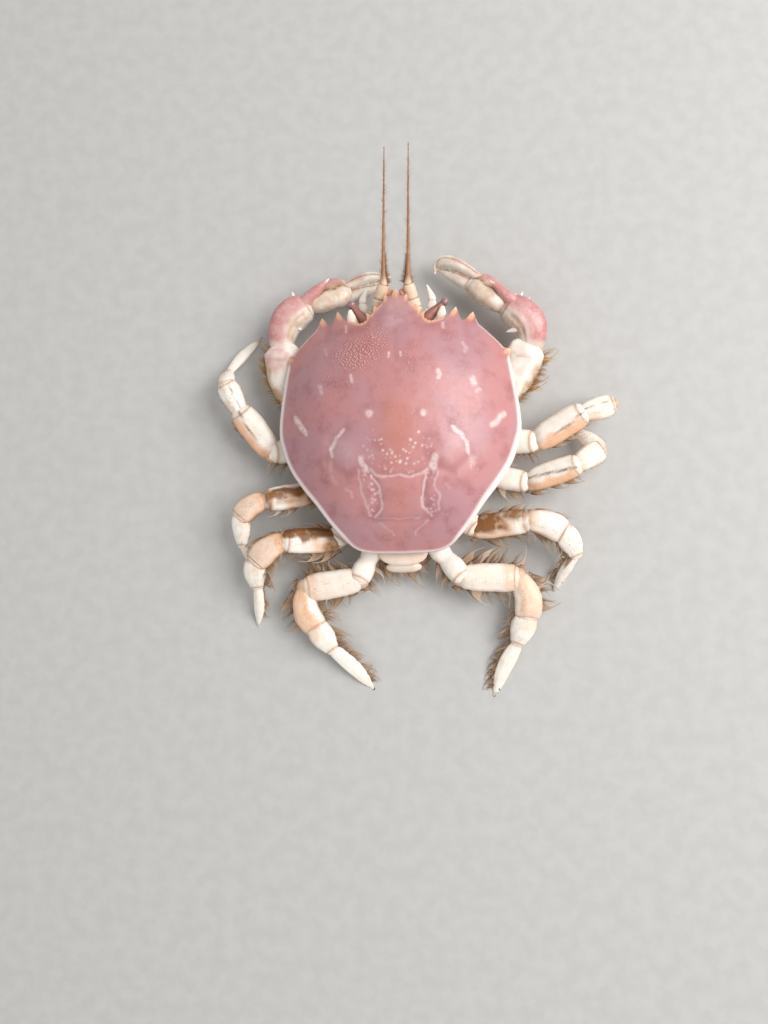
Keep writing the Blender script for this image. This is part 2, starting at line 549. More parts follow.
def distance_to_line(x, y, line):
    """Distance of every x, y from a line through points."""
    best = np.full(np.shape(x), 1e9)
    for (ax, ay), (bx, by) in zip(line, line[1:]):
        span = (bx - ax) ** 2 + (by - ay) ** 2
        share = np.clip(((x - ax) * (bx - ax) + (y - ay) * (by - ay)) / span, 0, 1)
        best = np.minimum(best, np.hypot(x - ax - share * (bx - ax), y - ay - share * (by - ay)))
    return best


def grid_skin(grid, values=None):
    """A closed skin through rings of points, with named values for each point.

    The result holds points, faces, each face corner's UV (place along, place round) and the values.
    """
    rings, sides = grid.shape[:2]
    first = rings * sides
    last = first + 1
    points = np.concatenate([grid.reshape(-1, 3), grid[:1].mean(axis=1), grid[-1:].mean(axis=1)])
    index = np.arange(first).reshape(rings, sides)
    following = np.roll(index, -1, axis=1)
    quads = np.stack([index[:-1], following[:-1], following[1:], index[1:]], axis=-1).reshape(-1, 4)
    start = np.stack([np.full(sides, first), following[0], index[0]], axis=-1)
    end = np.stack([np.full(sides, last), index[-1], following[-1]], axis=-1)
    ring_place, side_place = np.meshgrid(np.arange(rings - 1), np.arange(sides), indexing="ij")
    u = np.stack([ring_place, ring_place, ring_place + 1, ring_place + 1], axis=-1) / (rings - 1)
    v = np.stack([side_place, side_place + 1, side_place + 1, side_place], axis=-1) / sides
    quad_uv = np.stack([u, v], axis=-1).reshape(-1, 4, 2)
    turn = np.arange(sides) / sides
    ahead = turn + 1 / sides
    middle = turn + 0.5 / sides
    start_uv = np.stack([np.stack([turn * 0, at], -1) for at in (middle, ahead, turn)], axis=1)
    end_uv = np.stack([np.stack([turn * 0 + 1, at], -1) for at in (middle, turn, ahead)], axis=1)
    a, b, c, d = (points[quads[:, k]] for k in range(4))
    volume = np.einsum("ij,ij->i", a, np.cross(b, c)).sum() + np.einsum("ij,ij->i", a, np.cross(c, d)).sum()
    if volume < 0:
        quads, quad_uv, start, start_uv, end, end_uv = (
            part[:, ::-1] for part in (quads, quad_uv, start, start_uv, end, end_uv))
    flat = {}
    for name, value in (values or {}).items():
        value = np.broadcast_to(value, (rings, sides))
        flat[name] = np.concatenate([value.ravel(), value[:1].mean(axis=1), value[-1:].mean(axis=1)])
    return {
        "points": points,
        "faces": quads.tolist() + start.tolist() + end.tolist(),
        "uvs": np.concatenate([quad_uv.reshape(-1, 2), start_uv.reshape(-1, 2), end_uv.reshape(-1, 2)]),
        "values": flat,
    }


def make_piece(name, skins, materials):
    """One object of several closed skins, each with the material of its own slot."""
    points, faces, uvs, slots = [], [], [], []
    names = sorted({key for skin in skins for key in skin["values"]})
    values = {key: [] for key in names}
    offset = 0
    for skin in skins:
        points.append(skin["points"])
        faces += [[corner + offset for corner in face] for face in skin["faces"]]
        uvs.append(skin["uvs"])
        slots += [skin.get("slot", 0)] * len(skin["faces"])
        for key in names:
            values[key].append(skin["values"].get(key, np.zeros(len(skin["points"]))))
        offset += len(skin["points"])
    mesh = bpy.data.meshes.new(name)
    points = np.concatenate(points)
    points[:, 2] = np.maximum(points[:, 2], 0)
    mesh.from_pydata(points.tolist(), [], faces)
    layer = mesh.uv_layers.new(name="UVMap")
    layer.data.foreach_set("uv", np.concatenate(uvs).ravel())
    for key in names:
        named = mesh.attributes.new(key, "FLOAT", "POINT")
        named.data.foreach_set("value", np.concatenate(values[key]).astype(np.float32))
    mesh.polygons.foreach_set("material_index", slots)
    for material in materials:
        mesh.materials.append(material)
    mesh.transform(TO_WORLD)
    mesh.shade_smooth()
    mesh.update()
    piece = bpy.data.objects.new(name, mesh)
    bpy.context.scene.collection.objects.link(piece)
    return piece


def dress(piece, slot, *nodes):
    """Rides a piece on the crab, in place of the solids that it stands for."""
    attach(piece, "root")
    if nodes:
        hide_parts(*nodes)


def stations(shape, rings, end):
    """Places along a limb, its width and height scales there, and how much is skin rather than socket."""
    widths = smooth_curve(shape, 1)
    heights = smooth_curve(shape, -1)
    turn = np.linspace(0, math.pi / 2, 8)[1:]
    place = [START_ROUND * (1 - np.cos(turn))]
    share = [np.sin(turn)]
    body_end = 1 - {"cup": LIP, "round": BLUNT_ROUND, "point": TIP_ROUND}[end]
    spread = np.linspace(0, 1, rings)[1:]
    spread = 0.5 * spread + 0.5 * (0.5 - 0.5 * np.cos(math.pi * spread))
    place.append(START_ROUND + (body_end - START_ROUND) * spread)
    share.append(np.ones(rings - 1))
    skin = [np.ones(7), np.ones(rings - 1)]
    if end == "cup":
        place.append(body_end + LIP * np.sin(turn))
        share.append(1 - (1 - CUP_EDGE) * (1 - np.cos(turn)))
        skin.append(np.linspace(1, 0.4, 7))
        place.append((1 - CUP_DEPTH * np.sin(turn))[:-1])
        share.append((CUP_EDGE * np.cos(turn) ** 0.6)[:-1])
        skin.append(np.zeros(6))
    else:
        place.append(body_end + (1 - body_end) * np.sin(turn)[:-1])
        share.append(np.cos(turn)[:-1])
        skin.append(np.ones(6))
    place, share, skin = (np.concatenate(parts) for parts in (place, share, skin))
    return place, widths(place) * share, heights(place) * share, skin


class Limb:
    """A rounded limb along a path: its grid of points and where each lies on it."""

    def __init__(self, path, size, shape, side=1, rings=56, sides=40, end="cup",
                 up=(0, 0, 1), across=None, power=2.4):
        self.path = np.asarray(path, float)
        self.length = path_length(self.path)
        self.size = size
        place, wide_scale, high_scale, skin = stations(shape, rings, end)
        centre, _, wide, above = path_frames(self.path, place, up, across)
        angle = 2 * math.pi * (np.arange(sides) + 0.5) / sides
        cosine = np.cos(angle)
        sine = np.sin(angle)
        round_x = np.sign(cosine) * np.abs(cosine) ** (2 / power)
        round_z = np.sign(sine) * np.abs(sine) ** (2 / power)
        half_width = (size[0] / 2 * wide_scale)[:, None]
        half_height = (size[1] / 2 * high_scale)[:, None]
        x = round_x * half_width
        z = round_z * half_height
        flatter = (half_height / np.maximum(half_width, 1e-6))[..., None]
        taller = (half_width / np.maximum(half_height, 1e-6))[..., None]
        self.outward = unit(wide[:, None] * x[..., None] * flatter + above[:, None] * z[..., None] * taller)
        self.grid = centre[:, None] + wide[:, None] * x[..., None] + above[:, None] * z[..., None]
        self.place = np.broadcast_to(place[:, None], x.shape)
        self.skin = np.broadcast_to(skin[:, None], x.shape)
        # Degrees round the limb: 0 is its rear or outer edge, 90 its top and 180 its front or inner edge
        face = np.degrees(angle) if side > 0 else (180 - np.degrees(angle)) % 360
        self.face = np.broadcast_to(face[None, :], x.shape)
        self.radius = np.maximum(half_width, half_height) * np.ones_like(x)
        self.values = {}

    def patch(self, first, last, centre, spread, strength):
        """A soft, uneven-edged patch between two places and round one face."""
        uneven = lattice_noise(self.grid, 1.8, 9)
        place = self.place + 0.05 * uneven
        begun = step(first - PATCH_FADE, first + PATCH_FADE, place)
        along = begun * (1 - step(last - PATCH_FADE, last + PATCH_FADE, place))
        turn = self.turn_from(centre) + PATCH_TURN * uneven
        return strength * along * (1 - step(spread - PATCH_TURN, spread + PATCH_TURN, turn))

    def turn_from(self, face):
        """Degrees round the limb from one face, 0 to 180."""
        return np.abs((self.face - face + 180) % 360 - 180)

    def ring(self, place, width):
        """Nearness, 0 to 1, to a ring round the limb, its half width in millimetres."""
        return np.exp(-((self.place - place) * self.length / width) ** 2)

    def line(self, marks, half_width):
        """Nearness, 0 to 1, to a line of place and face marks, its half width in millimetres."""
        best = np.full(self.place.shape, 1e9)
        for (place_a, face_a), (place_b, face_b) in zip(marks, marks[1:]):
            to_x = (place_b - place_a) * self.length
            to_y = np.radians(face_b - face_a) * self.radius
            turn = (self.face - face_a + 180) % 360 - 180
            x = (self.place - place_a) * self.length
            y = np.radians(turn) * self.radius
            share = np.clip((x * to_x + y * to_y) / (to_x ** 2 + to_y ** 2 + 1e-9), 0, 1)
            best = np.minimum(best, np.hypot(x - share * to_x, y - share * to_y))
        return np.exp(-(best / half_width) ** 2) * self.skin

    def lift(self, height):
        """Moves the skin outwards by a height at each point."""
        self.grid = self.grid + self.outward * (height * self.skin)[..., None]

    def lumps(self, size, height, seed):
        """Uneven lumps all over the limb."""
        self.lift(lattice_noise(self.grid, size, seed) * height)

    def mark(self, name, value):
        """Raises a named value of the skin to at least this."""
        self.values[name] = np.maximum(self.values.get(name, 0), value)

    def skin_mesh(self, slot=0):
        """The limb as a skin for make_piece."""
        made = grid_skin(self.grid, {**self.values, "skin": self.skin})
        made["slot"] = slot
        return made


def ball(centre, along, size, rings=28, sides=40, slot=0):
    """A closed ellipsoid of three sizes: across, along its own line, and high."""
    along = unit(np.asarray(along, float))
    wide = unit(np.cross(along, (0, 0, 1)))
    above = np.cross(wide, along)
    turn = np.linspace(0, math.pi, rings + 2)[1:-1]
    angle = 2 * math.pi * np.arange(sides) / sides
    ring = np.cos(angle)[:, None] * wide * size[0] / 2 + np.sin(angle)[:, None] * above * size[2] / 2
    grid = np.asarray(centre, float) - np.cos(turn)[:, None, None] * along * size[1] / 2
    skin = grid_skin(grid + np.sin(turn)[:, None, None] * ring[None], {"skin": np.ones((rings, sides))})
    skin["slot"] = slot
    return skin


SPIKE_SHAPE = ((0, 1), (0.25, 0.98), (0.5, 0.72), (0.8, 0.34), (1, 0.08))


def spike(root, tip, width, sink=0.8, rings=12, sides=14, blush=0):
    """A smooth spine whose root is sunk along its own line, with a flush that fades towards its tip."""
    root = np.asarray(root, float)
    tip = np.asarray(tip, float)
    along = unit(tip - root)
    path = (root - along * sink, (root + tip) / 2, tip)
    limb = Limb(path, (width, width), SPIKE_SHAPE, rings=rings, sides=sides, end="point", power=2)
    limb.mark("blush", blush * (1 - step(0.78, 0.98, limb.place)))
    return limb.skin_mesh()


def set_inputs(tree, node, inputs):
    """Sets inputs of a node, each to a value, to a socket or to another node's first output."""
    for key, value in inputs.items():
        if isinstance(value, bpy.types.Node):
            value = value.outputs[0]
        if isinstance(value, bpy.types.NodeSocket):
            tree.links.new(value, node.inputs[key])
        else:
            node.inputs[key].default_value = value


def add_node(tree, kind, inputs=None, **settings):
    """Adds a node to a tree, with its properties, values and links."""
    node = tree.nodes.new(kind)
    for name, value in settings.items():
        setattr(node, name, value)
    set_inputs(tree, node, inputs or {})
    return node


def noise_at(tree, coordinates, size, detail):
    """A noise whose lumps are about size millimetres wide."""
    return add_node(
        tree, "ShaderNodeTexNoise",
        {"Vector": coordinates, "Scale": 1 / (size * MM), "Detail": detail, "Roughness": 0.55},
    ).outputs["Fac"]


def cells_at(tree, coordinates, size):
    """Distance from the middle of cells that are about size millimetres wide."""
    inputs = {"Vector": coordinates, "Scale": 1 / (size * MM)}
    return add_node(tree, "ShaderNodeTexVoronoi", inputs, feature="F1").outputs["Distance"]


def mapped(tree, value, low, high, to_low=0, to_high=1):
    """A value taken from one range to another, smoothly."""
    inputs = {"Value": value, "From Min": low, "From Max": high, "To Min": to_low, "To Max": to_high}
    return add_node(tree, "ShaderNodeMapRange", inputs, interpolation_type="SMOOTHSTEP").outputs["Result"]


def maths(tree, operation, first, second):
    """One sum on two values or links."""
    return add_node(tree, "ShaderNodeMath", {0: first, 1: second}, operation=operation).outputs[0]


def attribute(tree, name):
    """A named value of the mesh."""
    return add_node(tree, "ShaderNodeAttribute", attribute_name=name).outputs["Fac"]


def broken(tree, name, noise, *span):
    """A named value of the mesh, broken up by a noise."""
    return maths(tree, "MULTIPLY", attribute(tree, name), mapped(tree, noise, *span))


def layered(tree, ground, layers):
    """A ground colour with further colours laid over it, each by its own factor."""
    colour = (*ground, 1)
    for factor, over in layers:
        inputs = {"Factor": factor, 6: colour, 7: (*over, 1)}
        colour = add_node(tree, "ShaderNodeMix", inputs, data_type="RGBA", clamp_factor=True).outputs[2]
    return colour


def bumped(tree, height, strength, distance):
    """A relief of the finish, distance millimetres deep."""
    return add_node(
        tree, "ShaderNodeBump", {"Height": height, "Strength": strength, "Distance": distance * MM})


def new_material(name, colour):
    """A node material with its node tree, its shader and the object's own coordinates."""
    material = bpy.data.materials.new(name)
    material.use_nodes = True
    material.diffuse_color = (*colour, 1)
    tree = material.node_tree
    coordinates = add_node(tree, "ShaderNodeTexCoord").outputs["Object"]
    return material, tree, tree.nodes["Principled BSDF"], coordinates


def carapace_material(look):
    """Calcified crab shell, waxed smooth by the sea: a soft rose gloss with pale lime marks."""
    material, tree, shader, place = new_material("calcified carapace", look.rose)
    broad = noise_at(tree, place, 16, 2)
    cloud = noise_at(tree, place, 4.5, 4)
    fine = noise_at(tree, place, 0.7, 3)
    crumbs = noise_at(tree, place, 0.8, 2)
    freckles = cells_at(tree, place, 1.15)
    sparse = mapped(tree, freckles, 0.06, 0.15, 0.55, 0)
    tip = attribute(tree, "tip")
    colour = layered(tree, look.rose, (
        (mapped(tree, broad, 0.35, 0.65), look.mauve),
        (mapped(tree, cloud, 0.45, 0.75, 0, 0.6), look.deep),
        (broken(tree, "warm", cloud, 0.2, 0.8, 0.5, 1.1), look.warm),
        (attribute(tree, "shade"), look.deep),
        (attribute(tree, "haze"), look.haze),
        (broken(tree, "dots", freckles, 0.12, 0.5, 0.8, 0), look.mark),
        (maths(tree, "MULTIPLY", sparse, mapped(tree, cloud, 0.5, 0.62)), look.mark),
        (broken(tree, "pale", crumbs, 0.3, 0.62, 0.6, 1), look.mark),
        (attribute(tree, "rim"), look.rim),
        (mapped(tree, tip, 0.05, 0.6), look.tip),
        (mapped(tree, tip, 0.72, 1, 0, 0.5), look.rim),
    ))
    pores = maths(tree, "MULTIPLY", cells_at(tree, place, 0.55), 0.5)
    relief = maths(tree, "ADD", pores, maths(tree, "MULTIPLY", fine, 0.8))
    set_inputs(tree, shader, {
        "Base Color": colour, "Metallic": 0, "IOR": 1.5, "Coat Weight": 0.25, "Coat Roughness": 0.28,
        "Roughness": mapped(tree, fine, 0.3, 0.7, 0.36, 0.5), "Normal": bumped(tree, relief, 0.22, 0.12),
    })
    return material


def cuticle_material(name, pale, blush, stain, crease, membrane, roughness, coat):
    """Limb shell: lime-white cuticle with a coloured flush, brown stains and dark worn creases."""
    material, tree, shader, place = new_material(name, pale)
    cloud = noise_at(tree, place, 2.6, 4)
    fine = noise_at(tree, place, 0.5, 3)
    grain = noise_at(tree, place, 0.6, 2)
    colour = layered(tree, pale, (
        (mapped(tree, cloud, 0.4, 0.75, 0, 0.24), blush),
        (broken(tree, "blush", cloud, 0.2, 0.7, 0.84, 1.06), blush),
        (broken(tree, "blush", grain, 0.5, 0.68, 0, 0.18), pale),
        (broken(tree, "stain", cloud, 0.25, 0.62, 0.45, 1.05), stain),
        (broken(tree, "crease", grain, 0.3, 0.55, 0.35, 1), crease),
        (mapped(tree, attribute(tree, "skin"), 0.1, 0.7, 0.9, 0), membrane),
    ))
    relief = maths(tree, "ADD", maths(tree, "MULTIPLY", grain, 0.7), fine)
    set_inputs(tree, shader, {
        "Base Color": colour, "Metallic": 0, "IOR": 1.5, "Coat Weight": coat, "Coat Roughness": 0.25,
        "Roughness": mapped(tree, fine, 0.3, 0.7, roughness - 0.06, roughness + 0.1),
        "Normal": bumped(tree, relief, 0.3, 0.1),
    })
    return material


def cornea_material(colour, edge):
    """Faceted crab cornea: dusky mauve under a clear wet skin, with facets a tenth of a millimetre wide."""
    material, tree, shader, place = new_material("faceted cornea", colour)
    facets = cells_at(tree, place, 0.14)
    set_inputs(tree, shader, {
        "Base Color": layered(tree, colour, ((mapped(tree, facets, 0.1, 0.7), edge),)),
        "Roughness": 0.16, "IOR": 1.5, "Coat Weight": 0.8, "Coat Roughness": 0.06,
        "Normal": bumped(tree, facets, 0.15, 0.03),
    })
    return material


def bristle_material(name, root, tip, gloss):
    """Chitin bristles: amber at the tips and browner at the roots, glossy where they are matted wet."""
    material, tree, shader, place = new_material(name, root)
    cloud = noise_at(tree, place, 3, 2)
    lighter = maths(tree, "SUBTRACT", attribute(tree, "tone"), 0.5)
    tone = maths(tree, "ADD", attribute(tree, "strand_place"), lighter)
    set_inputs(tree, shader, {
        "Base Color": layered(tree, root, (
            (mapped(tree, tone, -0.1, 1), tip), (mapped(tree, cloud, 0.55, 0.75, 0, 0.5), tip),
        )),
        "Roughness": gloss, "IOR": 1.55, "Subsurface Weight": 0.15, "Subsurface Radius": (1, 0.45, 0.2),
        "Subsurface Scale": 0.6 * MM,
    })
    return material


def new_tree(name, numbers):
    """A Geometry Nodes tree that takes a geometry, some numbers and a material, and its input sockets."""
    tree = bpy.data.node_groups.new(name, "GeometryNodeTree")
    for key, value in {"Geometry": None, **numbers, "Material": None}.items():
        kind = {int: "Int", float: "Float"}.get(type(value), key)
        socket = tree.interface.new_socket(key, in_out="INPUT", socket_type=f"NodeSocket{kind}")
        if value is not None:
            socket.default_value = value
    tree.interface.new_socket("Geometry", in_out="OUTPUT", socket_type="NodeSocketGeometry")
    return tree, add_node(tree, "NodeGroupInput").outputs


def named_value(tree, name, kind="FLOAT"):
    """A named value of the points or of the mesh."""
    found = add_node(tree, "GeometryNodeInputNamedAttribute", {"Name": name}, data_type=kind)
    return found.outputs["Attribute"]


def stored(tree, geometry, name, value, kind="FLOAT", domain="POINT"):
    """The geometry with one more named value."""
    inputs = {"Geometry": geometry, "Name": name, "Value": value}
    return add_node(tree, "GeometryNodeStoreNamedAttribute", inputs, data_type=kind, domain=domain)


def finish_tree(tree, instances, material, unwrap=None):
    """Makes instances real, unwraps them where asked, and gives them their material."""
    made = add_node(tree, "GeometryNodeRealizeInstances", {"Geometry": instances})
    if unwrap:
        made = stored(tree, made, "OFBake", unwrap, "FLOAT2", "CORNER")
    smooth = add_node(tree, "GeometryNodeSetShadeSmooth", {"Geometry": made})
    finished = add_node(tree, "GeometryNodeSetMaterial", {"Geometry": smooth, "Material": material})
    add_node(tree, "NodeGroupOutput", {"Geometry": finished})
    return tree


def bead_tree():
    """Geometry Nodes that set a low dome on every point: granules and the beads of the margin."""
    tree, given = new_tree("Shell Granules", {"Height share": 0.6, "Sides": 8, "Seed": 3})
    dot = add_node(tree, "GeometryNodeMeshUVSphere", {"Segments": given["Sides"], "Rings": 5, "Radius": 0.5})
    normal = named_value(tree, "lie", "FLOAT_VECTOR")
    turned = add_node(tree, "FunctionNodeAlignRotationToVector", {"Vector": normal}, axis="Z")
    jitter = add_node(
        tree, "FunctionNodeRandomValue", {2: 0.75, 3: 1.2, "Seed": given["Seed"]}, data_type="FLOAT")
    width = maths(tree, "MULTIPLY", named_value(tree, "bead"), jitter.outputs[1])
    height = maths(tree, "MULTIPLY", width, given["Height share"])
    scale = add_node(tree, "ShaderNodeCombineXYZ", {"X": width, "Y": width, "Z": height})
    placed = add_node(
        tree, "GeometryNodeInstanceOnPoints",
        {"Points": given["Geometry"], "Instance": dot, "Rotation": turned, "Scale": scale})
    return finish_tree(tree, placed, given["Material"])


def strand_tree():
    """Geometry Nodes that grow one bent, tapered strand from every point, and lay out its bake patch."""
    tree, given = new_tree("Chitin Bristles", {
        "Joints": 5, "Sides": 3, "Thickness share": STRAND_SHARE, "Bend": 0.2, "Taper": 0.55,
        "Bake patch": 0.003, "Seed": 5,
    })
    line = add_node(tree, "GeometryNodeCurvePrimitiveLine", {"Start": (0, 0, 0), "End": (0, 0, 1)})
    cut = add_node(
        tree, "GeometryNodeResampleCurve", {"Curve": line, "Count": given["Joints"]}, mode="COUNT")
    factor = add_node(tree, "GeometryNodeSplineParameter").outputs["Factor"]
    rest = maths(tree, "SUBTRACT", 1, factor)
    bow = maths(tree, "MULTIPLY", maths(tree, "MULTIPLY", rest, factor), given["Bend"])
    offset = add_node(tree, "ShaderNodeCombineXYZ", {"X": bow})
    bent = add_node(tree, "GeometryNodeSetPosition", {"Geometry": cut, "Offset": offset})
    marked = stored(tree, bent, "strand_place", factor)
    radius = maths(tree, "MAXIMUM", maths(tree, "POWER", rest, given["Taper"]), 0.04)
    half = maths(tree, "MULTIPLY", given["Thickness share"], 0.5)
    profile = add_node(
        tree, "GeometryNodeCurvePrimitiveCircle", {"Resolution": given["Sides"], "Radius": half})
    tube = add_node(
        tree, "GeometryNodeCurveToMesh",
        {"Curve": marked, "Profile Curve": profile, "Scale": radius, "Fill Caps": True})
    here = add_node(tree, "GeometryNodeInputPosition")
    across = add_node(tree, "ShaderNodeSeparateXYZ", {"Vector": here}).outputs["Y"]
    strand = stored(tree, tube, "strand_side", across)
    lie, lean, size, root_uv = (
        named_value(tree, name, "FLOAT_VECTOR") for name in ("lie", "lean", "size", "root_uv"))
    turned = add_node(
        tree, "FunctionNodeAxesToRotation", {"Primary Axis": lie, "Secondary Axis": lean},
        primary_axis="Z", secondary_axis="X")
    jitter = add_node(
        tree, "FunctionNodeRandomValue",
        {"Min": (-0.08, -0.08, -0.3), "Max": (0.08, 0.08, 0.3), "Seed": given["Seed"]},
        data_type="FLOAT_VECTOR")
    placed = add_node(
        tree, "GeometryNodeInstanceOnPoints",
        {"Points": given["Geometry"], "Instance": strand, "Rotation": turned, "Scale": size})
    shaken = add_node(
        tree, "GeometryNodeRotateInstances",
        {"Instances": placed, "Rotation": jitter, "Local Space": True})
    inside = add_node(
        tree, "ShaderNodeCombineXYZ",
        {"X": named_value(tree, "strand_place"), "Y": named_value(tree, "strand_side")})
    small = add_node(
        tree, "ShaderNodeVectorMath", {0: inside, "Scale": given["Bake patch"]}, operation="SCALE")
    where = add_node(tree, "ShaderNodeVectorMath", {0: root_uv, 1: small}, operation="ADD")
    return finish_tree(tree, shaken, given["Material"], where)


def grow(name, tree, vectors, numbers, inputs):
    """Runs a Geometry Nodes tree on loose points and returns the finished, plain mesh object.

    vectors and numbers hold the points' named values. "points" is where they stand, in millimetres.
    """
    mesh = bpy.data.meshes.new(name)
    points = np.asarray(vectors["points"], float) * MM + np.array(SHIFT)
    mesh.from_pydata(points.tolist(), [], [])
    for key, value in vectors.items():
        if key != "points":
            layer = mesh.attributes.new(key, "FLOAT_VECTOR", "POINT")
            layer.data.foreach_set("vector", np.asarray(value, np.float32).ravel())
    for key, value in numbers.items():
        layer = mesh.attributes.new(key, "FLOAT", "POINT")
        layer.data.foreach_set("value", np.asarray(value, np.float32))
    piece = bpy.data.objects.new(name, mesh)
    bpy.context.scene.collection.objects.link(piece)
    modifier = piece.modifiers.new(tree.name, "NODES")
    modifier.node_group = tree
    for item in tree.interface.items_tree:
        if item.in_out == "INPUT" and item.name in inputs:
            modifier[item.identifier] = inputs[item.name]
    graph = bpy.context.evaluated_depsgraph_get()
    grown = bpy.data.meshes.new_from_object(piece.evaluated_get(graph))
    piece.modifiers.clear()
    piece.data = grown
    bpy.data.meshes.remove(mesh)
    grown.name = name
    places = np.empty(len(grown.vertices) * 3, np.float32)
    grown.vertices.foreach_get("co", places)
    places[2::3] = np.maximum(places[2::3], FLOOR_REST * MM)
    grown.vertices.foreach_set("co", places)
    for key in ("lie", "lean", "size", "root_uv", "bead", "strand_side"):
        if key in grown.attributes:
            grown.attributes.remove(grown.attributes[key])
    grown.update()
    return piece


def dome(x, y):
    """Height of the carapace's upper face, as the solid has it."""
    side = SIDE_DROP * np.abs(x / HALF_WIDTH) ** SIDE_POWER
    forward = np.maximum(y - CROWN_Y, 0) / FRONT_RUN
    behind = np.maximum(CROWN_Y - y, 0) / REAR_RUN
    corner = CORNER_DROP * np.abs(x / HALF_WIDTH) * forward ** 2
    return CROWN_Z - side - FRONT_DROP * forward ** FRONT_POWER - corner - REAR_DROP * behind ** REAR_POWER


def margin_columns():
    """The carapace's margin from the rostrum round its right side: points and distances from the rostrum."""
    half = path_points([(x, y, 0) for x, y in OUTLINE], np.linspace(0, 1, 1200))[:, :2]
    steps = np.linalg.norm(np.diff(half, axis=0), axis=1)
    distance = np.concatenate([[0], np.cumsum(steps)])
    total = distance[-1]
    front = np.arange(0, FRONT_ARC, FRONT_SPACING)
    rear = np.linspace(FRONT_ARC, total, int((total - FRONT_ARC) / REAR_SPACING))
    marks = np.concatenate([front, rear])
    right = np.stack([np.interp(marks, distance, half[:, axis]) for axis in (0, 1)], axis=1)
    left = right[1:-1][::-1] * (-1, 1)
    return np.concatenate([right, left]), np.concatenate([marks, -marks[1:-1][::-1]])


def tooth_offsets(margin, marks):
    """How far the teeth and the saw edge push each point of the margin out, its pale tip and its flank."""
    offset = np.zeros_like(margin)
    tooth = np.zeros(len(margin))
    flank = np.zeros(len(margin))
    for root_x, root_y, tip_x, tip_y, width in MARGIN_TEETH:
        for side in (1, -1) if root_x else (1,):
            nearest = np.argmin(np.hypot(margin[:, 0] - root_x * side, margin[:, 1] - root_y))
            push = np.array([tip_x * side, tip_y]) - margin[nearest]
            hat = np.clip(1 - np.abs(marks - marks[nearest]) / (width * 0.62), 0, 1) ** 1.3
            offset += push * hat[:, None]
            tooth = np.maximum(tooth, step(0.42, 0.8, hat))
            flank = np.maximum(flank, hat)
    ends = [np.argmin(np.hypot(margin[:, 0] - x, margin[:, 1] - y)) for x, y in (SAW_FROM, SAW_TO)]
    first, last = marks[ends[0]], marks[ends[1]]
    away = np.abs(marks)
    inside = step(first - 0.3, first + 0.3, away) * (1 - step(last - 0.3, last + 0.3, away))
    wave = 1 - np.abs((away / SAW_PITCH) % 1 - 0.5) * 2
    outward = unit(np.stack([margin[:, 0] * 0.4, np.abs(margin[:, 1])], axis=1))
    offset += outward * (SAW_HEIGHT * wave * inside)[:, None]
    return offset, np.maximum(tooth, inside * (0.35 + 0.3 * wave)), flank


def shell_relief(x, y):
    """Height of the regions, grooves and low lumps of the carapace."""
    height = np.zeros(x.shape)
    for line, half_width, lift in REGIONS:
        height += lift * np.exp(-(distance_to_line(x, y, line) / half_width) ** 2)
    for line, half_width, _, lift in PALE_MARKS:
        height += lift * np.exp(-(distance_to_line(x, y, line) / half_width) ** 2)
    flat = np.stack([x, y, x * 0], axis=-1)
    height += LUMP_HEIGHT * lattice_noise(flat, LUMP_SIZE, 3)
    height += 0.35 * LUMP_HEIGHT * lattice_noise(flat, LUMP_SIZE * 0.35, 4)
    return height


def shell_marks(x, y, inset):
    """The colour values of the carapace at every point, inset millimetres in from its margin."""
    wobble = np.stack([x, y, x * 0], axis=-1)
    shift_x = x + 0.28 * lattice_noise(wobble, 1.3, 5)
    shift_y = y + 0.28 * lattice_noise(wobble, 1.3, 6)
    pale = np.zeros(x.shape)
    for line, half_width, strength, _ in PALE_MARKS:
        near = distance_to_line(shift_x, shift_y, line)
        soft = 0.25 if strength > 0.5 else 0
        pale = np.maximum(pale, strength * (1 - step(half_width * soft, half_width * 1.3, near)))
    for line, half_width, strength in PALE_LINES:
        near = distance_to_line(shift_x, shift_y, line)
        pale = np.maximum(pale, 0.85 * strength * (1 - step(half_width * 0.3, half_width * 1.5, near)))
    dots = np.zeros(x.shape)
    for line, half_width, strength in DOT_BANDS:
        near = distance_to_line(x, y, line)
        dots = np.maximum(dots, strength * (1 - step(half_width * 0.5, half_width * 1.3, near)))
    middle = np.exp(-((x / 5) ** 2 + ((y + 3) / 9) ** 2))
    heart = np.exp(-((x / 5) ** 2 + ((y + 21) / 7) ** 2))
    front_left = np.exp(-(((x + 8) / 7.5) ** 2 + ((y - 16.5) / 6) ** 2))
    orbits = np.exp(-(((np.abs(x) - 9) / 4) ** 2 + ((y - 23.2) / 1.7) ** 2))
    warm = np.clip(0.8 * middle + 0.4 * heart + 0.45 * front_left + 0.35 * orbits, 0, 1)
    grooves = np.zeros(x.shape)
    for line, half_width, lift in REGIONS:
        if lift < 0:
            near = distance_to_line(x, y, line)
            grooves = np.maximum(grooves, -lift / 0.34 * np.exp(-(near / (half_width * 0.7)) ** 2))
    edge_width = 0.75 + 0.4 * step(10, 24, x) * (1 - step(-10, 6, y))
    edge_width = edge_width * (1 - 0.6 * step(14, 21, y)) * (1 - 0.35 * (1 - step(-32, -27, y)))
    behind_orbit = 1 - step(22, 25.5, y) * (1 - step(17.5, 20.5, np.abs(x)))
    strength = (1 - 0.45 * step(14, 22, y)) * (1 - 0.3 * (1 - step(-31.5, -27, y)))
    rim = (1 - step(edge_width * 0.6, edge_width * 1.7, inset)) * behind_orbit * strength
    shade = np.clip(0.5 * grooves + 0.45 * orbits + 0.22 * front_left, 0, 1)
    return {"pale": pale, "dots": dots, "warm": warm, "shade": shade, "rim": rim}


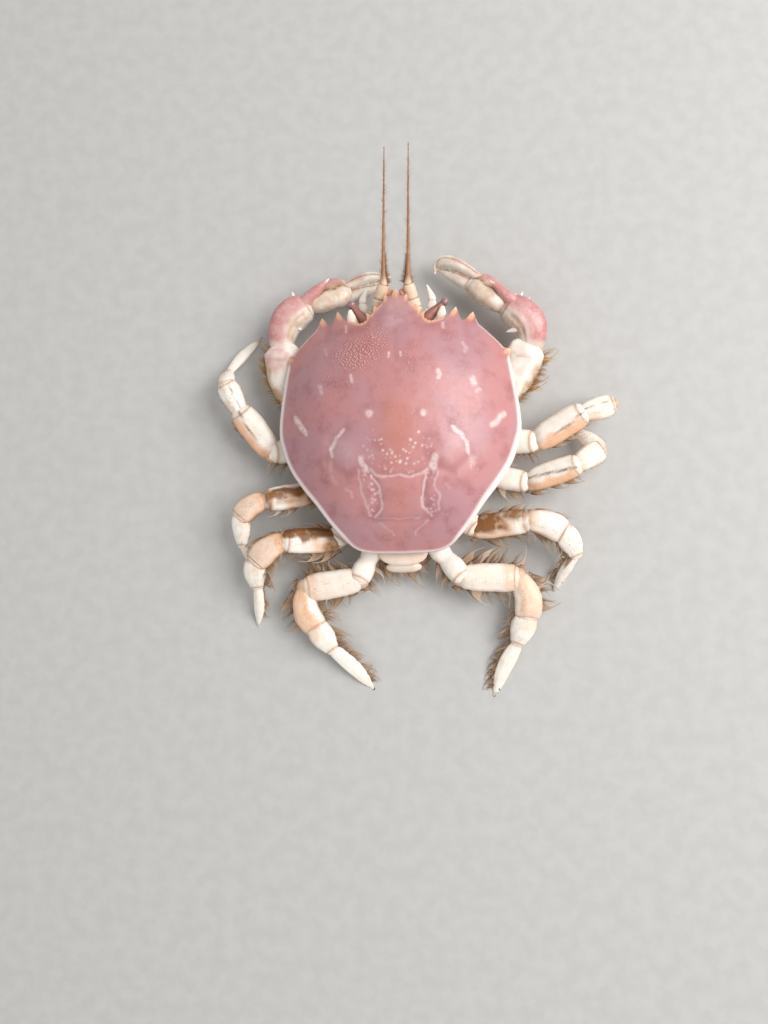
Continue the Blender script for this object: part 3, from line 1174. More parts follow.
def carapace_skin():
    """The shell: relief and teeth on the dome, a rounded edge, and the side wall down to the seam."""
    margin, marks = margin_columns()
    offset, tooth, flank = tooth_offsets(margin, marks)
    reach = np.hypot(margin[:, 0], margin[:, 1])
    fractions = np.linspace(0, 1, DOME_RINGS + 1)[1:]
    grow_out = step(0.93, 1, fractions)
    x = margin[None, :, 0] * fractions[:, None] + offset[None, :, 0] * grow_out[:, None]
    y = margin[None, :, 1] * fractions[:, None] + offset[None, :, 1] * grow_out[:, None]
    inset = (1 - fractions)[:, None] * reach[None, :]
    z = dome(x, y)
    marks_here = shell_marks(x, y, inset)
    rim_bead = 0.22 * np.exp(-((inset - 0.7) / 0.6) ** 2) * marks_here["rim"]
    fade = step(0, 2.5, inset)
    z = z + shell_relief(x, y) * fade + rim_bead
    marks_here["tip"] = tooth[None, :] * step(0.94, 0.995, fractions)[:, None]
    flush = flank[None, :] * step(0.86, 0.97, fractions)[:, None]
    marks_here["warm"] = np.clip(marks_here["warm"] + 0.7 * flush, 0, 1)
    marks_here["rim"] = marks_here["rim"] * (1 - np.clip(1.6 * flank, 0, 1)[None, :])
    rings = [np.stack([x, y, z], axis=-1)]
    side_in = smooth_curve(SIDE_WALL, 1)
    front_in = smooth_curve(SIDE_WALL, 2)
    drops = np.concatenate([[0, 0.015, 0.045], np.linspace(0.09, 1, WALL_RINGS)])
    for number, drop in enumerate(drops):
        front = step(19, 29, margin[:, 1])
        inward = side_in(drop) + (front_in(drop) - side_in(drop)) * front
        scale = 1 - inward / reach
        rest = 1 - step(0, 0.13, drop)
        wall_x = margin[:, 0] * scale + offset[:, 0] * rest
        wall_y = margin[:, 1] * scale + offset[:, 1] * rest
        rim_z = dome(x[-1], y[-1])
        wall_z = rim_z - EDGE_DROP + (SEAM_Z - rim_z + EDGE_DROP) * drop
        if number == 0:
            wall_z = rim_z - EDGE_DROP * 0.6
        rings.append(np.stack([wall_x, wall_y, wall_z], axis=-1)[None])
    under = len(drops)
    values = {}
    for name, value in marks_here.items():
        last = value[-1:]
        if name in ("rim", "tip", "warm"):
            down = 1 - step(0.04, 0.22, drops)
            tail = last * down[:, None]
        else:
            tail = last * np.ones((under, 1))
        values[name] = np.concatenate([value, tail])
    folded = np.repeat(step(0.1, 0.5, drops)[:, None], x.shape[1], 1)
    values["haze"] = np.concatenate([np.zeros(x.shape), folded])
    skin = grid_skin(np.concatenate(rings), values)
    skin["slot"] = 0
    return skin


def dome_normals(x, y):
    """Directions square to the dome."""
    small = 0.05
    slope_x = (dome(x + small, y) - dome(x - small, y)) / (2 * small)
    slope_y = (dome(x, y + small) - dome(x, y - small)) / (2 * small)
    return unit(np.stack([-slope_x, -slope_y, np.ones_like(x)], axis=-1))


# Granule patches of the carapace: centre x, y, half lengths x, y, density and size
GRANULE_PATCHES = (
    (-9.4, 15.8, 8.4, 6, 1, 1), (-4.4, 19.4, 4.4, 4.8, 1, 0.9), (4, 15.6, 3, 7, 0.9, 0.62),
    (9, 14.5, 7, 6.5, 0.6, 0.42), (-16.5, 12, 6, 9, 0.4, 0.5), (-4, 7, 12, 8, 0.35, 0.42),
)


def scattered_granules(width):
    """Where the granules of the carapace stand and how wide each is."""
    draw = np.random.default_rng(17)
    spacing = 0.74
    columns = np.arange(-27, 27, spacing)
    rows = np.arange(-20, 28, spacing * 0.87)
    x, y = np.meshgrid(columns, rows)
    x = x + (np.arange(len(rows)) % 2)[:, None] * spacing / 2
    x = (x + draw.uniform(-0.26, 0.26, x.shape)).ravel()
    y = (y + draw.uniform(-0.26, 0.26, y.shape)).ravel()
    density = np.full(x.shape, 0.05)
    size = np.full(x.shape, 0.34)
    for centre_x, centre_y, half_x, half_y, strength, large in GRANULE_PATCHES:
        near = np.exp(-(((x - centre_x) / half_x) ** 2 + ((y - centre_y) / half_y) ** 2) ** 1.5)
        density = np.maximum(density, strength * near)
        size = np.maximum(size, large * near)
    margin, _ = margin_columns()
    angle = np.arctan2(margin[:, 1], margin[:, 0])
    order = np.argsort(angle)
    reach = np.interp(np.arctan2(y, x), angle[order], np.hypot(margin[:, 0], margin[:, 1])[order])
    inside = np.hypot(x, y) < reach - 1.6
    kept = inside & (draw.uniform(0, 1, x.shape) < density)
    x, y, size = x[kept], y[kept], size[kept]
    z = dome(x, y) + shell_relief(x, y)
    normals = dome_normals(x, y)
    wide = width * size * draw.uniform(0.85, 1.15, x.shape)
    points = np.stack([x, y, z], axis=-1) - normals * (wide * 0.06)[:, None]
    values = {"bead": wide * MM, "skin": np.ones(len(x)), "blush": 0.4 * draw.uniform(0, 1, x.shape)}
    return {"points": points, "lie": normals}, values


def rim_beads(width):
    """Beads along the side and rear margin of the carapace."""
    margin, marks = margin_columns()
    offset, _, _ = tooth_offsets(margin, marks)
    start = float(np.abs(marks[np.argmin(np.hypot(margin[:, 0] - 19, margin[:, 1] - 27))])) + 1.5
    far = np.abs(marks).max() - 6
    wanted = np.arange(start, far, 0.78)
    order = np.argsort(marks)
    places = np.concatenate([wanted, -wanted])
    edge = margin + offset
    x = np.interp(places, marks[order], edge[order, 0])
    y = np.interp(places, marks[order], edge[order, 1])
    scale = 1 - 0.3 / np.hypot(x, y)
    x, y = x * scale, y * scale
    z = dome(x, y) + 0.04
    size = np.interp(np.abs(places), (start, start + 30, far), (0.6, 0.72, 0.46)) * width
    values = {"bead": size * MM, "skin": np.ones(len(x)), "blush": 0.55 * step(13, 20, y)}
    return {"points": np.stack([x, y, z], axis=-1), "lie": dome_normals(x, y)}, values


def orbit_lobes(slot):
    """The white lobe under each orbit."""
    for side, path in ((1, ORBIT_LOBE), (-1, mirrored(ORBIT_LOBE))):
        limb = Limb(path, ORBIT_LOBE_SIZE, ORBIT_LOBE_SHAPE, side, rings=40, sides=28, end="round", power=2)
        limb.lumps(0.9, 0.06, 15)
        yield limb.skin_mesh(slot)


def leg_joints(leg, side_name):
    """Positions of a leg's joints from the end of its coxa to its tip."""
    hip, segments = LEG_POSES[(leg, side_name)]
    joints = [np.array(hip, float)]
    for (length, _, _), (azimuth, pitch, _) in zip(LEG_SIZES[leg], segments):
        a = math.radians(azimuth)
        p = math.asin((TIP_Z - joints[-1][2]) / length) if pitch is None else math.radians(pitch)
        ahead = np.array([math.cos(p) * math.cos(a), math.cos(p) * math.sin(a), math.sin(p)])
        joints.append(joints[-1] + ahead * length)
    return joints


def segment_path(start, end, bow, sink, reach):
    """A bowed centre line from one joint to the next, sunk into what carries it."""
    along = unit(end - start)
    across = unit(np.cross(along, (0, 0, 1)))
    return np.array([start - along * sink, (start + end) / 2 - across * bow, end + along * reach])


def sunk(path, depth):
    """A path whose start is moved back along its own line."""
    path = np.array(path, float)
    path[0] += unit(path[0] - path[1]) * depth
    return path


def leg_chain(leg, side_name, side):
    """Each segment of a leg: its name, path, size, shape and bristle seed."""
    joints = leg_joints(leg, side_name)
    x, y, z = LEG_ROOTS[leg]
    rows = [("coxa", np.array([x * side, y, z]), joints[0], 0, COXA_SIZES[leg])]
    for index, segment in enumerate(LEG_SEGMENTS):
        bow = LEG_POSES[(leg, side_name)][1][index][2]
        rows.append((segment, joints[index], joints[index + 1], bow, LEG_SIZES[leg][index][1:]))
    for number, (segment, start, end, bow, size) in enumerate(rows):
        reach = 0 if segment == "dactylus" else END_REACH
        seed = LOCK_SEED + number * 10 + (100 if side > 0 else 200) + int(leg[-1]) * 1000
        yield segment, segment_path(start, end, bow, ROOT_SINK, reach), size, LEG_SHAPES[segment], seed


# Colours of the walking legs: value, first and last place, middle face, spread and strength.
# A row that names a side goes before the row for both sides.
STAINED_CARPUS = (
    ("blush", 0, 0.3, 90, 180, 0.95), ("blush", 0, 1, 0, 44, 0.95), ("blush", 0, 1, 180, 44, 0.95),
    ("blush", 0, 1, 90, 180, 0.5), ("stain", 0, 1, 90, 180, 0.1), ("stain", 0, 0.14, 90, 180, 0.75),
    ("stain", 0.1, 0.9, 0, 16, 0.5), ("stain", 0.2, 1, 186, 14, 0.5),
)
LEG_PATCHES = {
    ("leg_1", "merus"): (("blush", 0.03, 0.93, 20, 58, 1), ("stain", 0, 0.16, 60, 90, 0.4)),
    ("leg_1", "carpus"): (("blush", 0, 0.5, 20, 50, 0.5), ("stain", 0, 0.1, 90, 180, 0.4)),
    ("leg_1", "propodus"): (("blush", 0, 0.4, 30, 60, 0.25),),
    ("leg_1", "dactylus"): (("stain", 0.9, 1, 90, 180, 0.7), ("blush", 0, 0.2, 90, 180, 0.2)),
    ("leg_2", "right", "merus"): (("blush", 0.03, 0.93, 18, 56, 1), ("stain", 0, 0.2, 90, 180, 0.4)),
    ("leg_2", "merus"): (
        ("stain", 0, 0.97, 112, 24, 1.3), ("stain", 0, 0.26, 60, 70, 1.2), ("blush", 0, 0.6, 40, 60, 0.8),
        ("stain", 0.88, 1, 90, 180, 1), ("stain", 0.3, 0.8, 70, 12, 0.5), ("crease", 0.05, 0.9, 128, 9, 0.5),
    ),
    ("leg_2", "left", "carpus"): STAINED_CARPUS,
    ("leg_2", "carpus"): (("blush", 0, 0.22, 90, 180, 0.5), ("blush", 0.2, 1, 0, 30, 0.5),
                          ("stain", 0, 0.1, 90, 180, 0.3)),
    ("leg_2", "propodus"): (("blush", 0, 0.3, 30, 60, 0.35),),
    ("leg_2", "dactylus"): (("stain", 0.9, 1, 90, 180, 0.7),),
    ("leg_3", "left", "merus"): (
        ("stain", 0, 1, 142, 48, 1.3), ("stain", 0, 0.3, 50, 80, 0.9), ("blush", 0, 0.5, 40, 60, 0.8),
        ("crease", 0.1, 0.95, 146, 10, 0.55), ("stain", 0, 0.9, 4, 14, 0.8),
        ("crease", 0.1, 0.7, 116, 5, 0.4),
    ),
    ("leg_3", "merus"): (("stain", 0, 0.6, 130, 70, 1.2), ("stain", 0.5, 1, 140, 40, 0.9),
                         ("blush", 0, 0.7, 30, 80, 0.7), ("stain", 0.9, 1, 90, 180, 0.6)),
    ("leg_3", "left", "carpus"): STAINED_CARPUS,
    ("leg_3", "carpus"): (("blush", 0, 0.24, 90, 180, 0.6), ("blush", 0, 1, 10, 34, 0.4),
                          ("stain", 0, 0.12, 90, 180, 0.5), ("stain", 0.2, 0.9, 0, 18, 0.4)),
    ("leg_3", "propodus"): (("blush", 0, 0.3, 30, 60, 0.3),),
    ("leg_3", "dactylus"): (("stain", 0.9, 1, 90, 180, 0.8),),
    ("leg_4", "merus"): (("blush", 0.72, 0.98, 60, 110, 0.6), ("blush", 0.1, 0.7, 60, 60, 0.18),
                         ("stain", 0, 0.1, 90, 180, 0.35)),
    ("leg_4", "left", "carpus"): (("blush", 0, 0.95, 122, 60, 0.85), ("blush", 0, 0.2, 90, 180, 0.6),
                                  ("stain", 0.1, 0.8, 0, 16, 0.5), ("stain", 0, 0.08, 90, 180, 0.3)),
    ("leg_4", "carpus"): (("blush", 0.05, 0.9, 110, 60, 0.7), ("blush", 0, 0.2, 90, 180, 0.4),
                          ("stain", 0.3, 1, 0, 16, 0.6), ("stain", 0, 0.08, 90, 180, 0.3)),
    ("leg_4", "propodus"): (("blush", 0, 0.4, 150, 60, 0.4),),
    ("leg_4", "dactylus"): (("stain", 0.93, 1, 90, 180, 0.9),),
}
# Dark worn creases: place and face marks, half width in millimetres and darkness
LEG_CREASES = {
    ("leg_1", "merus"): ((((0.36, 74), (0.7, 80), (0.97, 88)), 0.2, 0.8),),
    ("leg_1", "carpus"): (
        (((0.05, 104), (0.5, 98), (0.9, 108)), 0.15, 0.7), (((0.4, 60), (0.9, 54)), 0.1, 0.4),
    ),
    ("leg_2", "right", "merus"): ((((0.1, 104), (0.5, 92), (0.92, 80)), 0.24, 0.9),),
    ("leg_2", "carpus"): ((((0.85, 30), (0.9, 150)), 0.1, 0.4),),
    ("leg_3", "carpus"): ((((0.88, 30), (0.9, 150)), 0.1, 0.4),),
}


def side_row(table, leg, side_name, segment):
    """The table's row for this side of a leg, or else the row for both sides."""
    return table.get((leg, side_name, segment), table.get((leg, segment), ()))


def leg_limb(leg, side_name, segment, path, size, shape, side):
    """One finished segment of a walking leg."""
    end = "point" if segment == "dactylus" else "cup"
    limb = Limb(path, size, shape, side, rings=72, sides=44, end=end)
    limb.lumps(2.6, 0.12, 11)
    limb.lumps(0.9, 0.045, 12)
    if segment in ("merus", "carpus"):
        ridge = limb.line(((0.08, 84), (0.5, 78), (0.93, 84)), 0.5)
        saw = 0.82 + 0.18 * np.sin(limb.place * limb.length * 2 * math.pi / 0.9)
        limb.lift(0.22 * ridge * saw)
    if segment != "coxa":
        limb.lift(-0.09 * limb.line(((0.14, 122), (0.86, 122)), 0.4))
        limb.lift(-0.07 * limb.line(((0.14, 52), (0.86, 52)), 0.35))
    for marks, half_width, darkness in side_row(LEG_CREASES, leg, side_name, segment):
        near = limb.line(marks, half_width)
        limb.lift(-0.16 * near)
        limb.mark("crease", darkness * near)
    collar = limb.ring(0.945, 0.35)
    if segment != "dactylus":
        high = 0.02 if segment == "propodus" else 0.1
        seam = (limb.place - 0.9 - 0.018 * np.cos(np.radians(limb.face * 2))) * limb.length
        limb.lift(high * collar - 0.1 * np.exp(-(seam / 0.25) ** 2))
        limb.mark("crease", 0.42 * np.exp(-(seam / 0.14) ** 2))
        limb.mark("blush", 0.5 * np.exp(-(seam / 0.6) ** 2))
        limb.mark("stain", 0.22 * np.exp(-(seam / 0.5) ** 2))
    for name, first, last, centre, spread, strength in side_row(LEG_PATCHES, leg, side_name, segment):
        limb.mark(name, limb.patch(first, last, centre, spread, strength))
    limb.mark("stain", 0.4 * (1 - step(0.05, 0.14, limb.place)))
    return limb


def arm_limb(side_name, side):
    """The long first segment of a cheliped that shows beside the carapace."""
    x, y, z = ARM_ROOT
    path = ((x * side - side, y, z), *CLAW_POSES[side_name]["arm"])
    limb = Limb(path, ARM_SIZE, ARM_SHAPE, side, rings=96, sides=52)
    limb.lumps(2.8, 0.14, 21)
    limb.lumps(0.8, 0.05, 22)
    limb.mark("blush", limb.patch(0.80, 0.97, 62, 46, 0.62 if side_name == "left" else 0.22))
    limb.mark("stain", limb.patch(0.38, 0.84, 14, 34, 0.85))
    limb.mark("stain", limb.patch(0.3, 0.8, 60, 30, 0.15))
    knuckle = limb.line(((0.9, 150), (0.98, 150)), 1.3)
    limb.lift(0.7 * knuckle + 0.3 * limb.line(((0.93, 20), (0.99, 60)), 0.9))
    limb.mark("crease", 0.25 * limb.line(((0.88, 80), (0.85, 110), (0.89, 140)), 0.14))
    limb.mark("stain", 0.3 * limb.line(((0.9, 60), (0.86, 110), (0.92, 150)), 0.6))
    return limb


def wrist_skins(side_name, side):
    """The swollen wrist with its spines."""
    pose = CLAW_POSES[side_name]
    path = sunk(pose["wrist"], ROOT_SINK)
    limb = Limb(path, WRIST_SIZE, CLUB_SHAPE, side, rings=84, sides=56)
    limb.lumps(2.6, 0.16, 31)
    limb.lumps(0.7, 0.06, 32)
    sheen = np.exp(-((limb.face - 70) / 24) ** 2)
    turn = limb.turn_from(-10)
    flush = (1 - step(86, 146, turn)) * step(0.08, 0.24, limb.place)
    limb.mark("blush", flush * (1 - 0.12 * sheen))
    limb.mark("stain", limb.patch(0.2, 0.9, 140, 24, 0.6))
    near = limb.line(((0.2, 124), (0.5, 132), (0.8, 126)), 0.5)
    limb.lift(-0.3 * near)
    ridge = limb.line(((0.2, 118), (0.5, 112), (0.95, 106)), 0.4)
    limb.lift(0.2 * ridge)
    limb.mark("stain", 0.4 * (1 - step(0.08, 0.2, limb.place)))
    limb.mark("crease", 0.4 * limb.ring(0.93, 0.16))
    limb.mark("stain", 0.4 * limb.ring(0.93, 0.5))
    skins = [limb.skin_mesh(), joint_ball(limb)]
    skins.append(spike(*pose["spine"], 3.4, sink=2.2, rings=24, sides=18, blush=0.9))
    rows = WRIST_SPINES[side_name]
    places, along, wide, _ = path_frames(path, [row[0] for row in rows])
    widths = smooth_curve(CLUB_SHAPE, 1)
    for number, (fraction, edge, length, width) in enumerate(rows):
        out = wide[number] * side * edge
        half = WRIST_SIZE[0] / 2 * float(widths(fraction))
        root = places[number] + out * half * 0.8 + np.array([0, 0, 1])
        tip = root + out * (half * 0.2 + length) + along[number] * length * 0.4
        skins.append(spike(root, tip, width))
    return skins


def finger_teeth_skins(path, size, shape, inward):
    """Blunt teeth along a finger's cutting edge."""
    marks = np.linspace(0.34, 0.88, 8)
    places, along, _, _ = path_frames(path, marks)
    widths = smooth_curve(shape, 1)
    skins = []
    for number, fraction in enumerate(marks):
        towards = unit(inward - along[number] * float(inward @ along[number]))
        half = size[0] / 2 * float(widths(fraction))
        root = places[number] + towards * half * 0.62
        tip = root + towards * (half * 0.38 + 0.3 - 0.1 * (number % 2))
        skins.append(spike(root, tip, 0.85, sink=0.4, rings=8, sides=10))
    return skins


def hand_skins(side_name, side):
    """The hand with its fixed finger, and the moving finger, as two lists."""
    pose = CLAW_POSES[side_name]
    tilt = (0.45 * side, 0.35, 1)
    palm = Limb(sunk(pose["palm"], WRIST_SINK), HAND_SIZE, PALM_SHAPE, side, rings=84, sides=52, up=tilt)
    palm.lumps(2.4, 0.12, 41)
    palm.lumps(0.7, 0.05, 42)
    turn = palm.turn_from(26)
    palm.mark("blush", 0.9 * (1 - step(56, 80, turn)) * (1 - 0.5 * step(0.8, 0.95, palm.place)))
    palm.mark("stain", palm.patch(0, 1, 150, 56, 0.5))
    wiggle = ((0.06, 92), (0.25, 104), (0.4, 92), (0.6, 100), (0.8, 90), (0.98, 98))
    groove = palm.line(wiggle, 0.26)
    palm.lift(-0.3 * groove)
    palm.mark("crease", 0.7 * groove)
    palm.mark("stain", 0.8 * palm.line(wiggle, 0.8))
    palm.mark("stain", 0.4 * (1 - step(0.08, 0.22, palm.place)))
    for face in (20, 42, 64):
        near = palm.line(((0.12, face), (0.9, face + 6)), 0.3)
        ribs = 0.5 + 0.5 * np.sin(palm.place * palm.length * 2 * math.pi / 0.7)
        palm.lift(0.16 * near * ribs)
    between = np.array(pose["thumb"][1]) - np.array(pose["finger"][1])
    fingers = []
    for path, size, shape, inward in (
        (np.array(pose["thumb"], float), THUMB_SIZE, THUMB_SHAPE, -between),
        (sunk(pose["finger"], ROOT_SINK), FINGER_SIZE, BLADE_SHAPE, between),
    ):
        limb = Limb(path, size, shape, side, rings=64, sides=32, end="point", up=tilt)
        limb.lumps(1.2, 0.06, 43)
        near = limb.line(((0.1, 96), (0.85, 96)), 0.16)
        limb.lift(-0.1 * near)
        limb.mark("crease", 0.6 * near)
        limb.mark("blush", limb.patch(0, 0.4, 60, 60, 0.4))
        limb.mark("stain", limb.patch(0, 0.9, 110, 40, 0.35))
        fingers.append([limb.skin_mesh(), *finger_teeth_skins(path, size, shape, inward)])
    return [palm.skin_mesh(), joint_ball(palm), *fingers[0]], fingers[1]


def thorax_skin():
    """The sternum and the sloping sides of the body, with the sutures between its plates."""
    y_values = np.linspace(THORAX_ROWS[0][0], THORAX_ROWS[-1][0], 90)
    at = [smooth_curve(tuple((-row[0], *row[1:]) for row in THORAX_ROWS), column) for column in (1, 2, 3)]
    rings = []
    suture = []
    for y in y_values:
        top_half, floor_half, low = (float(curve(-y)) for curve in at)
        knee = low + (THORAX_TOP - low) * 0.5
        knee_half = (top_half + floor_half) * 0.52
        right = (
            (0, THORAX_TOP), (top_half * 0.6, THORAX_TOP), (top_half, THORAX_TOP - 0.5),
            (knee_half, knee), (floor_half, low + 0.7), (floor_half * 0.7, low), (0, low),
        )
        half = path_points([(x, y, z) for x, z in right], np.linspace(0, 1, 33))
        left = half[1:-1][::-1] * (-1, 1, 1)
        ring = np.concatenate([half, left])
        suture.append(np.abs(math.sin(math.pi * (y + 2) / 8.2)) + 0 * ring[:, 0])
        rings.append(ring)
    grid = np.array(rings)
    near = 1 - step(0, 0.22, np.array(suture))
    low_part = 1 - step(3, 6.5, grid[..., 2])
    side_part = step(3, 6, np.abs(grid[..., 0]))
    groove = near * low_part * side_part
    grid[..., 2] += 0.35 * groove
    scale = np.ones(len(y_values))
    ends = np.minimum(np.arange(len(scale)), np.arange(len(scale))[::-1])
    scale = 1 - 0.35 * (1 - step(-0.5, 3, ends.astype(float)))
    middle = np.array([0, 0, 5])
    grid[..., 0] *= scale[:, None]
    grid[..., 2] = middle[2] + (grid[..., 2] - middle[2]) * scale[:, None]
    rough = lattice_noise(grid, 1.6, 51)
    values = {
        "crease": 0.35 * groove, "blush": 0.25 + 0.2 * rough, "stain": 0.25 * step(0.3, 0.8, rough),
        "skin": np.ones(grid.shape[:2]),
    }
    return grid_skin(grid, values)


def abdomen_limb():
    """The tail folded under the body, its somites overlapping like tiles."""
    limb = Limb(
        ABDOMEN_PATH, ABDOMEN_SIZE, ABDOMEN_SHAPE, rings=150, sides=48, end="round", across=(1, 0, 0))
    somite = np.interp(limb.place, SOMITE_ENDS, np.arange(len(SOMITE_ENDS))) % 1
    edge = step(0, 0.85, somite) * (1 - step(0.9, 1, somite))
    limb.lift(0.28 * edge - 0.1)
    limb.lumps(1.4, 0.07, 52)
    limb.mark("crease", 0.4 * step(0.9, 0.98, somite) * step(0.2, 0.4, limb.place))
    limb.mark("blush", 0.2 + 0.2 * edge * limb.skin)
    return limb


def eye_skins(side_name, side):
    """An eyestalk with a low collar, and its cornea."""
    path = EYE_PATHS[side_name]
    stalk = Limb(path, (EYE_WIDTH, EYE_WIDTH), EYE_SHAPE, side, rings=56, sides=36, end="round", power=2)
    stalk.lumps(0.8, 0.05, 61)
    stalk.mark("blush", stalk.patch(0, 0.8, 90, 180, 0.95))
    stalk.mark("crease", 0.5 * stalk.line(((0.1, 140), (0.95, 120)), 0.6))
    near = stalk.ring(0.78, 0.16)
    stalk.lift(-0.08 * near)
    centre, along, _, _ = (part[0] for part in path_frames(path, [CORNEA_PLACE]))
    cornea = ball(centre, along, CORNEA_SIZE, slot=1)
    return stalk, cornea


def antenna_limbs(side_name, side):
    """The three articles of an antenna's base, and its ringed lash."""
    path = np.array(ANTENNA_PATHS[side_name], float)
    base_size = (ANTENNA_BASE_WIDTH, ANTENNA_BASE_WIDTH)
    base = Limb(path[:3], base_size, ANTENNA_BASE_SHAPE, side, rings=84, sides=36)
    for place in (0.3, 0.62):
        near = base.ring(place, 0.28)
        base.lift(-0.2 * near + 0.08 * np.exp(-((base.place - place + 0.05) * base.length / 0.3) ** 2))
        base.mark("crease", 0.7 * base.ring(place, 0.16))
    base.lumps(1, 0.05, 71)
    base.mark("blush", base.patch(0, 1, 170, 60, 0.9))
    base.mark("blush", 0.25 + 0.35 * step(0.6, 1, base.place))
    base.mark("stain", base.patch(0, 1, 190, 34, 0.6))
    lash = Limb(sunk(path[2:], FLAGELLUM_SINK), (FLAGELLUM_WIDTH, FLAGELLUM_WIDTH), FLAGELLUM_SHAPE, side,
                rings=330, sides=14, end="point", power=2)
    ring = 0.5 + 0.5 * np.cos(lash.place * lash.length * 2 * math.pi / 0.62)
    lash.lift(-0.06 * ring ** 3)
    lash.mark("crease", 0.22 * ring ** 4)
    lash.mark("blush", 0.08 + 0.92 * step(0.06, 0.36, lash.place))
    lash.mark("stain", 0.6 * step(0.4, 1, lash.place))
    lash.mark("stain", lash.patch(0, 0.5, 180, 34, 0.4))
    return base, lash


def mouth_skins(side):
    """A third maxilliped: its grooved plate and the three articles of its palp."""
    plate_path = MAXILLIPED_PLATE if side > 0 else mirrored(MAXILLIPED_PLATE)
    palp_path = PALP_PATH if side > 0 else mirrored(PALP_PATH)
    plate = Limb(plate_path, MAXILLIPED_SIZE, SEGMENT_SHAPE, side, rings=72, sides=40, end="round")
    groove = plate.line(((0.1, 250), (0.9, 250)), 0.5) + plate.line(((0.1, 290), (0.9, 290)), 0.4)
    plate.lift(-0.15 * np.minimum(groove, 1))
    plate.lumps(1.8, 0.08, 81)
    plate.mark("crease", 0.3 * np.minimum(groove, 1))
    palp = Limb(palp_path, PALP_SIZE, BLADE_SHAPE, side, rings=72, sides=24, end="round")
    for place in (0.3, 0.56):
        near = palp.ring(place, 0.3)
        palp.lift(-0.16 * near)
        palp.mark("crease", 0.3 * palp.ring(place, 0.16))
    return [plate.skin_mesh(), palp.skin_mesh()]


def lock_places(path, size, shape, rows, side, seed):
    """Where each matted lock of a limb's edge grows, as the solid has them."""
    draw = random.Random(seed)
    path = np.asarray(path, float)
    up = np.array([0, 0, 1])
    for edge, first, last, count, length, width, sweep in rows:
        for index in range(count):
            fraction = first + (last - first) * (index + 0.5) / count
            centre, along, wide, _ = (part[0] for part in path_frames(path, [fraction]))
            wide = wide * edge * side
            half = size[0] / 2 * float(np.interp(fraction, *zip(*shape)))
            lean = math.radians(sweep + draw.uniform(-LOCK_LEAN_SPREAD, LOCK_LEAN_SPREAD))
            out = wide * math.cos(lean) + along * math.sin(lean)
            hidden = half * LOCK_HIDDEN / max(math.cos(lean), 0.4)
            root = centre + wide * half * LOCK_ROOT + up * draw.uniform(*LOCK_ROOT_HEIGHT)
            curl = along * draw.uniform(*LOCK_CURL) + up * draw.uniform(*LOCK_DROOP)
            reach = hidden + length * draw.uniform(*LOCK_LENGTH_SPREAD)
            yield {"fraction": fraction, "edge": edge, "root": root, "out": out, "along": along,
                   "width": width, "length": reach, "curl": curl, "wide": wide}


class Coat:
    """Strands gathered for one coat piece: where each grows, how it lies and where its bake patch is."""

    def __init__(self):
        self.rows = {"points": [], "lie": [], "lean": [], "size": [], "root_uv": []}
        self.tone = []

    def add(self, root, tip, lean, width, spot, tone, across=None):
        """One strand from root to tip, width millimetres thick and bowed towards lean.

        Across is its width along lean, where it isn't as thick as a bristle of its length.
        """
        tip = np.asarray(tip, float)
        tip[2] = max(tip[2], LOWEST_TIP)
        span = tip - np.asarray(root, float)
        length = max(float(np.linalg.norm(span)), 1e-3)
        self.rows["points"].append(root)
        self.rows["lie"].append(span / length)
        self.rows["lean"].append(lean)
        wide = length if across is None else across / STRAND_SHARE
        self.rows["size"].append((wide * MM, width / STRAND_SHARE * MM, length * MM))
        self.rows["root_uv"].append((*spot, 0))
        self.tone.append(tone)

    def grow(self, name, tree, inputs):
        """The coat piece as a finished mesh object."""
        return grow(name, tree, self.rows, {"tone": self.tone}, inputs)


def bake_spot(tile, tiles, place, face):
    """Place on the skin's unwrap: one tile for each segment, place along it and face round it."""
    u = BAKE_CORNER[0] + BAKE_SPAN[0] * (tile + min(max(place, 0), 1)) / tiles
    v = BAKE_CORNER[1] + BAKE_SPAN[1] * (face % 360) / 360
    return u, v


def comb_lock(webs, hairs, lock, tile, tiles, draw, strands):
    """Fills one matted lock with three thin webs and strands that run together at its point."""
    tip = lock["root"] + (lock["out"] + lock["curl"]) * lock["length"]
    normal = unit(np.cross(lock["out"], lock["along"]))
    if normal[2] < 0:
        normal = -normal
    spot = bake_spot(tile, tiles, lock["fraction"], 0 if lock["edge"] > 0 else 180)
    back = lock["root"] - lock["out"] * 0.4
    base = lock["width"] * max(abs(float(lock["out"] @ lock["wide"])), 0.4)
    bowed = lock["along"] if draw.random() < 0.35 else -lock["along"]
    webs.add(back, tip, bowed, 0.16, spot, draw.uniform(0.5, 0.8), across=base * 2.2)
    for turn in (-0.55, 0.5):
        start = back + lock["along"] * turn * lock["width"]
        end = start + (tip - back) * draw.uniform(0.4, 0.62)
        webs.add(start, end, -lock["along"], 0.13, spot, draw.uniform(0.4, 0.7), across=base * 1.5)
    for index in range(strands):
        share = (index + 0.5) / strands * 2 - 1 + draw.uniform(-0.12, 0.12)
        start = back + lock["along"] * share * lock["width"] * 0.8 + normal * draw.uniform(-0.1, 0.1)
        reach = draw.uniform(0.85, 1.12) * (1 - 0.72 * abs(share))
        end = back + (tip - back) * reach + lock["along"] * share * lock["width"] * 0.2
        away = unit(-lock["along"] * share - lock["out"] * 0.2 + normal * 0.2)
        place = lock["fraction"] + share * 0.02
        spot = bake_spot(tile, tiles, place, 0 if lock["edge"] > 0 else 180)
        hairs.add(start, end, away, draw.uniform(0.07, 0.12), spot, draw.uniform(0.2, 0.8))


